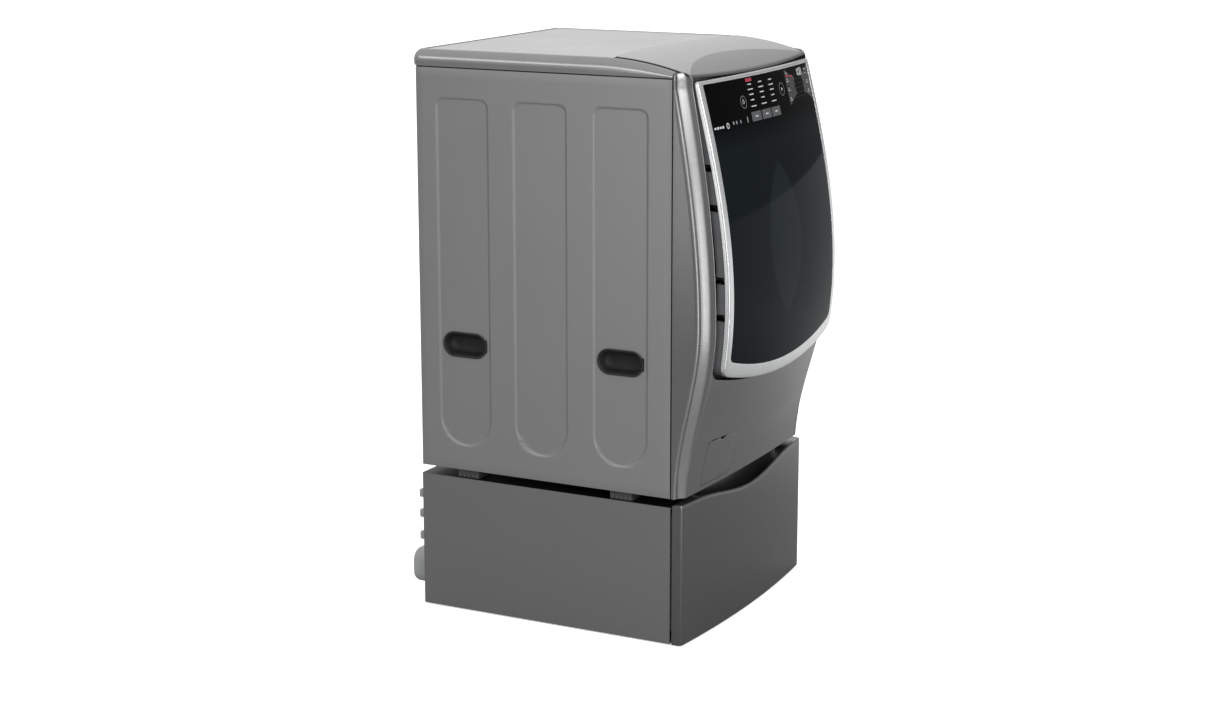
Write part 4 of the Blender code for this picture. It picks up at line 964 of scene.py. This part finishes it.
def make_controls(_=None):
    """Touch marks printed on the glass: cycle list, two round keys, three square keys and a display."""
    marks, dim, red, keys, field = Shape(), Shape(), Shape(), Shape(), Shape()
    for k, x in enumerate(COLUMN_X):
        for row, z in enumerate(COLUMN_Z):
            long = 0.0088 + 0.0022 * ((3 * k + 2 * row) % 3)
            print_patch(marks, x, z - 0.001 * (k == 0), long, 0.0013)
            print_patch(dim, x - long - 0.005, z - 0.001 * (k == 0), 0.0010, 0.0010, 0.95)
    print_patch(red, COLUMN_X[0] - 0.001, 1.3655, 0.0165, 0.0040)
    print_ring(dim, -0.1402, 1.3168, 0.0150, 0.0150, 0.0011)
    print_ring(marks, -0.1402, 1.3168, 0.0045, 0.0045, 0.0012)
    print_patch(marks, -0.1402, 1.3225, 0.0007, 0.0030)
    print_ring(dim, 0.0940, 1.3263, 0.0155, 0.0160, 0.0011)
    print_patch(marks, 0.0940, 1.3263, 0.0030, 0.0036, 0.95)
    for x in (-0.0861, -0.0271, 0.0309):
        print_patch(keys, x, 1.2788, 0.0262, 0.0112, 0.12)
        print_patch(marks, x, 1.2788, 0.0075, 0.0014, proud=0.0009)
    for k, x in enumerate((-0.3000, -0.2880, -0.2760, -0.2640)):
        print_patch(marks, x, 1.2700, 0.0042, 0.0023 + 0.0006 * (k % 2))
    print_ring(marks, -0.2401, 1.2709, 0.0066, 0.0070, 0.0026)
    for x, wide in ((-0.2109, 0.0030), (-0.1954, 0.0030), (-0.1749, 0.0026)):
        print_patch(dim, x, 1.2742, wide, 0.0038)
    print_patch(dim, -0.1379, 1.2752, 0.0022, 0.0070)
    print_patch(field, 0.2215, 1.3260, 0.0900, 0.0425, 0.05, 0.0002)
    print_digit(marks, 0.2180, 1.3560, 0.0052, 0.0080, 1)
    print_digit(marks, 0.2345, 1.3562, 0.0052, 0.0080, 0)
    print_digit(marks, 0.2495, 1.3565, 0.0052, 0.0080, 8)
    for z in (1.3530, 1.3590):
        print_patch(marks, 0.2262, z, 0.0009, 0.0009, 0.9, 0.0009)
    print_patch(red, 0.1450, 1.3535, 0.0085, 0.0021, proud=0.0009)
    print_patch(red, 0.1720, 1.3515, 0.0110, 0.0014, proud=0.0009)
    print_patch(marks, 0.1430, 1.3600, 0.0020, 0.0016, proud=0.0009)
    print_patch(dim, 0.2850, 1.3590, 0.0100, 0.0018, proud=0.0009)
    print_patch(dim, 0.2850, 1.3490, 0.0080, 0.0014, proud=0.0009)
    for x, z in ((0.1420, 1.3411), (0.1420, 1.3190), (0.1440, 1.2952), (0.2870, 1.3260), (0.2860, 1.3040)):
        print_patch(marks, x, z + 0.0042, 0.0020, 0.0014, proud=0.0009)
        print_patch(dim, x, z - 0.0010, 0.0100, 0.0016, proud=0.0009)
    for z in (1.2970, 1.3080, 1.3190, 1.3300, 1.3410):
        print_patch(field, 0.2150, z, 0.0480, 0.0003, proud=0.0009)
    for shape, name, paint in ((marks, "touch_marks", "mark"), (dim, "touch_marks_dim", "dim"),
                               (red, "touch_marks_red", "red"), (keys, "touch_keys", "key"),
                               (field, "display_field", "field")):
        shape.make(name, paint, "door", "smoked")


# ---------------------------------------------------------------- pedestal

def pedestal_front(x):
    """Front of the drawer in plan: a parabola."""
    return -(0.031 + 0.0202 * (1 - (np.asarray(x) / HALF) ** 2))


def scoop_top(x):
    """Upper edge of the drawer front: level at its ends, dipping in a squared cosine."""
    return 0.3600 - 0.030 * np.cos(np.clip(np.asarray(x) / 0.30, -1, 1) * np.pi / 2) ** 2


def make_drawer_front(_=None):
    x = np.concatenate([
        -HALF + 0.0090 * (1 - np.cos(np.linspace(0, math.pi / 2, 9))), np.linspace(-0.355, 0.355, 81),
        HALF - 0.0090 * (1 - np.cos(np.linspace(math.pi / 2, 0, 9))),
    ])
    inset = 0.0090 - np.sqrt(np.maximum(0.0090**2 - np.maximum(np.abs(x) - (HALF - 0.0090), 0) ** 2, 0))
    y0 = pedestal_front(x) + 0.7 * inset
    top = scoop_top(x)
    ins = np.zeros_like(x)
    rows = [
        np.stack([x, -0.0040 + ins, 0.0026 + ins], -1), np.stack([x, y0 + 0.004, 0.0020 + ins], -1),
        np.stack([x, y0 + 0.0012, 0.0024 + ins], -1), np.stack([x, y0, 0.0042 + ins], -1),
    ]
    for t in np.linspace(0.02, 0.975, 30):
        rows.append(np.stack([x, y0, 0.0042 + t * (top - 0.0042)], -1))
    rows += [
        np.stack([x, y0 + 0.0004, top - 0.0022], -1), np.stack([x, y0 + 0.0016, top - 0.0006], -1),
        np.stack([x, y0 + 0.0032, top], -1), np.stack([x, y0 + 0.0080, top - 0.0003], -1),
    ]
    # Behind the lip the hand space falls away, except at the two ends where the top runs level.
    hollow = smooth((0.262 - np.abs(x)) / 0.04)
    y_in = np.minimum(-0.0050, y0 + 0.0105)
    rows += [
        np.stack([x, y_in, top - 0.0006 - 0.055 * hollow], -1),
        np.stack([x, -0.0066 + ins, np.maximum(top, 0.356) - 0.0010 - 0.073 * hollow], -1),
        np.stack([x, -0.0050 + ins, 0.3560 + ins], -1), np.stack([x, -0.0038 + ins, 0.3560 + ins], -1),
    ]
    rows = np.array(rows)
    ends = rows[:, [0, -1]].copy()
    ends[:, :, 1] = np.maximum(ends[:, :, 1], -0.0040)
    shape = Shape().grid(np.concatenate([ends[:, :1], rows, ends[:, 1:]], 1))
    shape.make("drawer_front_skin", "brushed_dark", "drawer", "brushed_dark", ["drawer_front"], flip=True)


# ---------------------------------------------------------------- drum, gasket, bowl and the small washer

def turned_skin(shape, corners, radius, centre, axis="y", n=120, closed=True, slot=0):
    """Adds a turned surface: its profile's corners rounded by short arcs, swept round the axis."""
    corners = [tuple(c) for c in corners]
    profile = rounded_path(corners + corners[:1] if closed else corners, radius, 4)
    rows = turned(profile, centre, axis, n)
    shape.grid(rows, wrap_v=True, slot=slot)
    if not closed:
        for row in (rows[0], rows[-1]):
            shape.fan(row, slot=slot)
    return shape


def add_lifter(shape, angle, radius, slot=0):
    """One lifter: a ridge whose section is a raised cosine and whose ends ramp down, closed underneath."""
    out = np.array([math.cos(angle), math.sin(angle)])
    side = np.array([-out[1], out[0]])
    w = np.linspace(-0.040, 0.040, 25)
    rows = []
    for t in np.linspace(0, 1, 40):
        y = 0.112 + 0.416 * t
        tall = 0.052 * smooth(min(t, 1 - t) / 0.11) + 0.0012
        high = tall * (0.5 + 0.5 * np.cos(np.pi * w / 0.040)) ** 0.7
        top = [(*(out * (radius - h) + side * a), y) for a, h in zip(w, high)]
        low = [(*(out * (radius + 0.0012) + side * a), y) for a in w[::-1]]
        rows.append([(x, y_, DRUM_Z + z) for x, z, y_ in top + low])
    rows = np.array(rows)
    shape.grid(rows, wrap_v=True, slot=slot)
    shape.fan(rows[0], slot=slot)
    shape.fan(rows[-1], slot=slot)


def make_drum_skins(_=None):
    """Drum with punched wall and lifters, boot gasket with its folds, and the glass bowl of the door."""
    centre = (0, 0, DRUM_Z)
    wide, front = float(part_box("drum")[1][0]), float(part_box("drum")[0][1]) - SEAM
    back, mouth = float(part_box("drum")[1][1]) - SEAM, 0.206
    drum = Shape()
    wall = rounded_path([(mouth, front + 0.0004), (wide - 0.002, front + 0.0300), (wide, back - 0.002)],
                        0.012, 6)
    inside = rounded_path([(wide - 0.003, back - 0.003), (wide - 0.003, front + 0.032),
                           (mouth, front + 0.0040)], 0.012, 6)
    drum.grid(turned(wall, centre, "y", 140), wrap_v=True, slot=0)
    drum.grid(turned(inside, centre, "y", 140), wrap_v=True, slot=0)
    rim = rounded_path([(mouth, front + 0.0004), (mouth - 0.0022, front + 0.0018), (mouth, front + 0.0040)],
                       0.0012, 4)
    drum.grid(turned(rim, centre, "y", 140), wrap_v=True, slot=1)
    rings = np.linspace(wide - 0.003, 0.020, 40)
    dish = np.array([(r, back - 0.003 - 0.0025 * math.sin(math.pi * 7 * r / wide) ** 2) for r in rings])
    dish[[0, -1], 1] = back - 0.003
    drum.grid(turned(dish, centre, "y", 140), wrap_v=True, slot=1)
    outer = [(0.020, back - 0.003), (0.020, back), (wide - 0.002, back), (wide, back - 0.002)]
    drum.grid(turned(outer, centre, "y", 140), wrap_v=True, slot=1)
    for k in range(3):
        add_lifter(drum, math.pi / 2 + 2 * math.pi * k / 3, wide - 0.0030, slot=1)
    drum.make("drum_skin", ["wall", "steel"], "drum_spin", "steel", ["drum"], outward=True)

    start = float(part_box("boot_gasket")[0][1]) - SEAM
    gasket = Shape()
    turned_skin(gasket, [
        (0.2110, start), (0.2110, start + 0.018), (0.199, -0.012), (0.2085, 0.006), (0.2085, 0.050),
        (0.2030, 0.050), (0.2030, 0.010), (0.1925, -0.012), (0.204, start + 0.018), (0.2025, start + 0.008),
        (0.2040, start)], 0.0042, centre)
    gasket.make("boot_gasket_skin", "rubber", "cabinet", "rubber", ["boot_gasket"], outward=True)

    deep = float(door_y(0, DRUM_Z))
    bowl = Shape()
    turned_skin(bowl, [
        (0.1845, deep + 0.0542), (0.1845, deep + 0.060), (0.176, deep + 0.070), (0.160, deep + 0.175),
        (0.145, deep + 0.190), (0.004, deep + 0.1995), (0.004, deep + 0.194), (0.155, deep + 0.172),
        (0.170, deep + 0.067), (0.176, deep + 0.0542)], 0.009, centre)
    bowl.make("door_bowl_skin", "clear", "door", "clear", ["door_bowl"], outward=True)


def make_small_washer(_=None):
    """Turned skins of the small washer's tub, drum and lid, with a raised grip on the lid."""
    centre = (0.0, MINI_Y, 0)
    tub = Shape()
    turned_skin(tub, [(0.245, 0.2996), (0.251, 0.2996), (0.251, 0.0842), (0.020, 0.0842), (0.020, 0.088),
                      (0.245, 0.088)], 0.004, centre, "z")
    tub.make("small_tub_skin", "tub", "drawer", "tub", ["mini_tub"], outward=True)
    drum = Shape()
    wall = rounded_path([(0.2222, 0.097), (0.2222, 0.2890), (0.2250, 0.2918), (0.2278, 0.2890),
                         (0.2278, 0.0945)], 0.002, 4)
    drum.grid(turned(wall, centre, "z", 120), wrap_v=True, slot=0)
    floor = [(0.2278, 0.0945), (0.020, 0.0945), (0.020, 0.097), (0.2222, 0.097)]
    drum.grid(turned(floor, centre, "z", 120), wrap_v=True, slot=1)
    drum.make("small_drum_skin", ["mini_wall", "steel"], "mini_drum", "steel", ["mini_drum"], outward=True)
    lid = Shape()
    turned_skin(lid, [(0.002, 0.3316), (0.2345, 0.3316), (0.2398, 0.3345), (0.2320, 0.3398),
                      (0.205, 0.3400),
                      (0.200, 0.3386), (0.150, 0.3410), (0.002, 0.3428)], 0.0016, centre, "z", closed=False)
    lid.make("small_lid_skin", "clear", "drawer", "clear", ["mini_lid"], outward=True)


# ---------------------------------------------------------------- rear, feet and fasteners

def rear_screw(shape, x, y, z, radius=0.0042):
    """A washer-headed screw: a flange, a domed head and a six-sided socket, turned about its axis."""
    profile = [(0.0014, 0.0012), (0.0016, 0.0030), (radius * 0.60, 0.0027), (radius * 0.68, 0.0011),
               (radius, 0.0009),
               (radius, -0.0004), (0.0014, -0.0004)]
    rows = turned(rounded_path([(r, -a) for r, a in profile], 0.0004, 3), (x, y, z), "y", 24)
    shape.grid(rows, wrap_v=True)
    shape.fan(rows[0])
    shape.fan(rows[-1])


def make_fasteners(_=None):
    """Screws of the rear panel and the service cover."""
    screws = Shape()
    edge = float(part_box("rear_panel")[1][0]) - 0.010
    at = [(side * edge, z) for side in (-1, 1) for z in (0.40, 0.58, 0.78, 0.98, 1.18, 1.365)]
    at += [(x, z) for x in (-0.22, -0.075, 0.075, 0.22) for z in (0.398, 1.372)]
    for x, z in at:
        rear_screw(screws, x, SEAM_BACK + 0.0002, z)
    for k in range(8):
        angle = math.pi / 8 + math.pi / 4 * k
        rear_screw(screws, 0.209 * math.cos(angle), SEAM_BACK + 0.0024, DRUM_Z + 0.209 * math.sin(angle),
                   0.0036)
    screws.make("rear_screws", "zinc", "cabinet", "zinc", outward=True)


def make_rear_cover(_=None):
    """Cover at the pedestal's rear: a plate with three clip bosses and a swelling over the drain sump."""
    low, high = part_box("pedestal_rear_cover")
    left, right, face = float(low[0]), -0.060, float(high[1]) - SEAM
    cover = Shape()
    rounded_block(cover, (left + 0.005, SEAM_BACK + 0.0008, 0.0402), (right, SEAM_BACK + 0.0158, 0.3148),
                  0.005)
    rows = []
    for deep, grow in ((0.010, 0.0), (face - SEAM_BACK - 0.012, 0.0), (face - SEAM_BACK - 0.004, -0.003),
                       (face - SEAM_BACK - 0.0008, -0.010), (face - SEAM_BACK - 0.0002, -0.022)):
        ring = obround(-0.2385, 0.087, 0.1083 + grow, 0.0448 + grow, 0.030 + 0.6 * grow, 72)
        rows.append(np.column_stack([ring[:, 0], np.full(72, SEAM_BACK + deep), ring[:, 1]]))
    rows = np.array(rows)
    cover.grid(rows, wrap_v=True)
    cover.fan(rows[0])
    cover.fan(rows[-1])
    for z in (0.176, 0.235, 0.289):
        rounded_block(cover, (-0.3500, SEAM_BACK + 0.0062, z - 0.0108),
                      (-0.3352, SEAM_BACK + 0.0238, z + 0.0108), 0.0035)
    cover.make("pedestal_rear_cover_skin", "light", "cabinet", "plastic", ["pedestal_rear_cover"],
               outward=True)


def make_feet(_=None):
    """Levelling feet of the pedestal: a ribbed rubber pad under a short stem, and ribs on the four clips."""
    for name in ("foot_left_front", "foot_left_rear", "foot_right_front", "foot_right_rear"):
        low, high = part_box(name)
        centre = ((low[0] + high[0]) / 2, (low[1] + high[1]) / 2 - SEAM, 0)
        wide, tall = float(high[0] - low[0]) / 2, float(high[2])
        foot = Shape()
        turned_skin(foot, [(0.001, 0.0001), (wide * 0.93, 0.0001), (wide, 0.0016), (wide * 0.97, 0.0034),
                           (wide, 0.0052),
                           (wide * 0.90, 0.0080), (0.0062, 0.0086), (0.0060, tall), (0.001, tall)], 0.0009,
                    centre,
                    "z", 64, closed=False)
        foot.make(f"{name}_skin", "foot", name, "foot", [name], outward=True)
    ribs = Shape()
    for name in ("clip_left_front", "clip_left_rear", "clip_right_front", "clip_right_rear"):
        low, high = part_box(name)
        out = low[0] if "left" in name else high[0]
        side = -1 if "left" in name else 1
        for k in range(5):
            y = float(low[1]) - SEAM + 0.006 + 0.012 * k
            x0, x1 = sorted((float(out) - side * 0.002, float(out) + side * 0.0012))
            rounded_block(ribs, (x0, y - 0.002, PEDESTAL_TOP + 0.001),
                          (x1, y + 0.002, PEDESTAL_TOP + 0.0092), 0.0012, 3)
    ribs.make("clip_ribs", "grey", "cabinet", "foot", outward=True)


# ---------------------------------------------------------------- stage

def aim_camera(settings):
    """The camera: its place, the way it looks and its lens."""
    yaw, pitch = math.radians(settings.yaw), math.radians(settings.pitch)
    ahead = Vector((math.cos(yaw) * math.cos(pitch), math.sin(yaw) * math.cos(pitch), -math.sin(pitch)))
    right = Vector((math.sin(yaw), -math.cos(yaw), 0.0))
    up = right.cross(ahead)
    turn = Matrix((right, up, -ahead)).transposed().to_4x4()
    data = bpy.data.cameras.new("camera")
    data.sensor_width = 36.0
    data.lens = settings.lens
    data.clip_end = 60.0
    camera = bpy.data.objects.new("camera", data)
    camera.matrix_world = Matrix.Translation(Vector(settings.place) + Vector((0, SEAM, 0))) @ turn
    bpy.context.scene.collection.objects.link(camera)
    bpy.context.scene.camera = camera


def area_light(name, place, target, size, power, colour=(1, 1, 1)):
    data = bpy.data.lights.new(name, "AREA")
    data.shape = "RECTANGLE"
    data.size, data.size_y = size
    data.energy = power
    data.color = colour
    light = bpy.data.objects.new(name, data)
    bpy.context.scene.collection.objects.link(light)
    way = Vector(target) - Vector(place)
    light.matrix_world = Matrix.Translation(place) @ way.to_track_quat("-Z", "Y").to_matrix().to_4x4()
    return light


def make_world(settings):
    """Soft studio surroundings, brighter from the front left; the backdrop itself is plain white."""
    world = bpy.data.worlds.new("studio")
    bpy.context.scene.world = world
    world.use_nodes = True
    tree = world.node_tree
    tree.nodes.clear()
    way = add(tree, "ShaderNodeTexCoord").outputs["Generated"]
    sides = []
    for toward, sharp in (((-0.62, -0.74, 0.25), 0.75), ((0.1, 0.35, 0.93), 0.6),
                          ((0.80, 0.56, 0.22), 0.16)):
        along = add(tree, "ShaderNodeVectorMath", {0: way}, operation="DOT_PRODUCT")
        along.inputs[1].default_value = toward
        sides.append(add(tree, "ShaderNodeMapRange", {"Value": along.outputs["Value"]},
                         inputs={"From Min": 1 - 2 * sharp, "From Max": 1.0}).outputs["Result"])
    most = add(tree, "ShaderNodeMath", {0: sides[0], 1: sides[1]}, operation="MAXIMUM")
    most = add(tree, "ShaderNodeMath", {0: most.outputs[0], 1: sides[2]}, operation="MAXIMUM")
    level = add(tree, "ShaderNodeMapRange", {"Value": most.outputs[0]},
                inputs={"To Min": settings.shade, "To Max": settings.bright},
                interpolation_type="SMOOTHSTEP")
    soft = add(tree, "ShaderNodeBackground", {"Strength": level.outputs["Result"]})
    plain = add(tree, "ShaderNodeBackground", inputs={"Strength": 1.0, "Color": (1, 1, 1, 1)})
    seen = add(tree, "ShaderNodeLightPath").outputs["Is Camera Ray"]
    mix = add(tree, "ShaderNodeMixShader", {0: seen, 1: soft.outputs[0], 2: plain.outputs[0]})
    add(tree, "ShaderNodeOutputWorld", {"Surface": mix.outputs[0]})
    bpy.context.scene.view_settings.view_transform = "Standard"


def make_floor():
    """A plain white floor, which throws little light back on the machine."""
    mesh = bpy.data.meshes.new("floor")
    mesh.from_pydata([(-60, -60, -0.0006), (60, -60, -0.0006), (60, 60, -0.0006), (-60, 60, -0.0006)], [],
                     [(0, 1, 2, 3)])
    made = bpy.data.objects.new("floor", mesh)
    bpy.context.scene.collection.objects.link(made)
    paint, tree, shader = finish("matt_white_floor", "#ffffff", 0.9)
    vary(tree, shader, pattern(tree, (1.5, 1.5, 1.5), 1), "#fefefe", "#ffffff")
    shader.inputs["Emission Color"].default_value = (1, 1, 1, 1)
    shader.inputs["Emission Strength"].default_value = 0.45
    # Other rays meet a grey floor with painted light on it: brighter to the right, and a painted pool of
    # light before the left corner.
    place = add(tree, "ShaderNodeTexCoord").outputs["Object"]
    right = add(tree, "ShaderNodeMapRange", {"Value": add(tree, "ShaderNodeSeparateXYZ",
                                                          {"Vector": place}).outputs["X"]},
                inputs={"From Min": 0.8, "From Max": 2.9, "To Min": 0.42, "To Max": 1.1},
                interpolation_type="SMOOTHSTEP")
    away = add(tree, "ShaderNodeVectorMath", {0: place}, operation="DISTANCE")
    away.inputs[1].default_value = (-1.0, -1.55, 0.0)
    painted_light_pool = add(tree, "ShaderNodeMapRange", {"Value": away.outputs["Value"]},
               inputs={"From Min": 0.9, "From Max": 0.1, "To Min": 0.0, "To Max": 0.45},
               interpolation_type="SMOOTHSTEP")
    level = add(tree, "ShaderNodeMath", {0: right.outputs["Result"], 1: painted_light_pool.outputs["Result"]},
                operation="ADD")
    dim = add(tree, "ShaderNodeBsdfDiffuse", {"Color": level.outputs[0]})
    seen = add(tree, "ShaderNodeLightPath").outputs["Is Camera Ray"]
    mix = add(tree, "ShaderNodeMixShader", {0: seen, 1: dim.outputs[0], 2: shader.outputs[0]})
    tree.links.new(mix.outputs[0], tree.nodes["Material Output"].inputs["Surface"])
    mesh.materials.append(paint)


def make_stage(settings):
    aim_camera(settings)
    make_world(settings)
    make_floor()
    area_light("key", (-2.3, -3.0, 2.5), (-0.1, -0.1, 1.0), (1.2, 1.6), 62)
    area_light("strip", (-2.6, 0.6, 1.5), (-0.3, -0.2, 0.9), (0.25, 2.2), 6)
    area_light("rail_band", (-2.6, 1.5, 2.50), (-0.36, 0.0, 1.4), (2.6, 0.55), 9)
    area_light("column_strip", (-1.8, -2.45, 0.62), (-0.36, -0.38, 0.9), (0.42, 1.25), 15)


# ---------------------------------------------------------------- add-on

class WasherCamera(bpy.types.PropertyGroup):
    place: bpy.props.FloatVectorProperty(
        name="Place", description="Where the camera stands, from the seam", subtype="TRANSLATION",
        default=(-5.2059, -2.3278, 1.9413))
    yaw: bpy.props.FloatProperty(name="Yaw", description="Turn from +X towards +Y, degrees",
                                 default=27.2404)
    pitch: bpy.props.FloatProperty(name="Pitch", description="Tilt below level, degrees", default=12.9227)
    lens: bpy.props.FloatProperty(name="Lens", description="Focal length, mm", default=67.868)
    bright: bpy.props.FloatProperty(name="Bright side", description="Strength of the lit side",
                                    default=1.25)
    shade: bpy.props.FloatProperty(name="Shaded side", description="Strength of the unlit side",
                                   default=0.38)


def operator(name, label, doc, work):
    """An Operator class that runs one maker."""
    def execute(self, context):
        work(context.scene.washer_camera)
        return {"FINISHED"}

    return type(f"WASHER_OT_{name}", (bpy.types.Operator,), {
        "bl_idname": f"washer.{name}", "bl_label": label, "__doc__": doc, "execute": execute,
    })


def finish_cad(_=None):
    """Puts a finish on each CAD node that is still shown."""
    for paint, names in CAD_PAINTS.items():
        for name in names.split():
            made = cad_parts[name]
            made.data.materials.clear()
            made.data.materials.append(PAINT[paint])


OPERATORS = [
    operator("stage", "Stage", "Camera, floor and light", make_stage),
    operator("sides", "Side panels", "Both side panels with their pressings and lift cups",
             lambda _: (make_side("left", -1), make_side("right", 1))),
    operator("front", "Front panel", "Columns and apron of the front panel", make_front),
    operator("flap", "Service flap", "The small flap before the drain filter", make_flap),
    operator("top", "Top", "Rail, lid and rear panel of the top", make_top),
    operator("door", "Door", "Trim frame and glass of the door", make_door),
    operator("controls", "Controls", "Touch marks and display on the glass", make_controls),
    operator("drawer_front", "Drawer front", "Front of the pedestal drawer", make_drawer_front),
    operator("drum_skins", "Drum, gasket and bowl", "The punched drum, its gasket and the bowl",
             make_drum_skins),
    operator("small_washer", "Small washer", "Tub, drum and lid in the drawer", make_small_washer),
    operator("fasteners", "Rear screws", "Screws on the rear", make_fasteners),
    operator("rear_cover", "Rear cover", "Cover at the pedestal's rear", make_rear_cover),
    operator("feet", "Feet and clips", "Levelling feet and the clips' ribs", make_feet),
    operator("cad_finishes", "CAD finishes", "Finishes on the CAD pieces that stay", finish_cad),
]


class WASHER_PT_panel(bpy.types.Panel):
    bl_label = "Washer"
    bl_idname = "WASHER_PT_panel"
    bl_space_type = "VIEW_3D"
    bl_region_type = "UI"
    bl_category = "Washer"

    def draw(self, context):
        for made in OPERATORS:
            self.layout.operator(made.bl_idname)


CLASSES = [WasherCamera, *OPERATORS, WASHER_PT_panel]


def register():
    for made in CLASSES:
        bpy.utils.register_class(made)
    bpy.types.Scene.washer_camera = bpy.props.PointerProperty(type=WasherCamera)


def unregister():
    del bpy.types.Scene.washer_camera
    for made in reversed(CLASSES):
        bpy.utils.unregister_class(made)


def main():
    register()
    mix_paints()
    for made in OPERATORS:
        group, name = made.bl_idname.split(".")
        getattr(getattr(bpy.ops, group), name)()


if __name__ == "__main__":
    main()
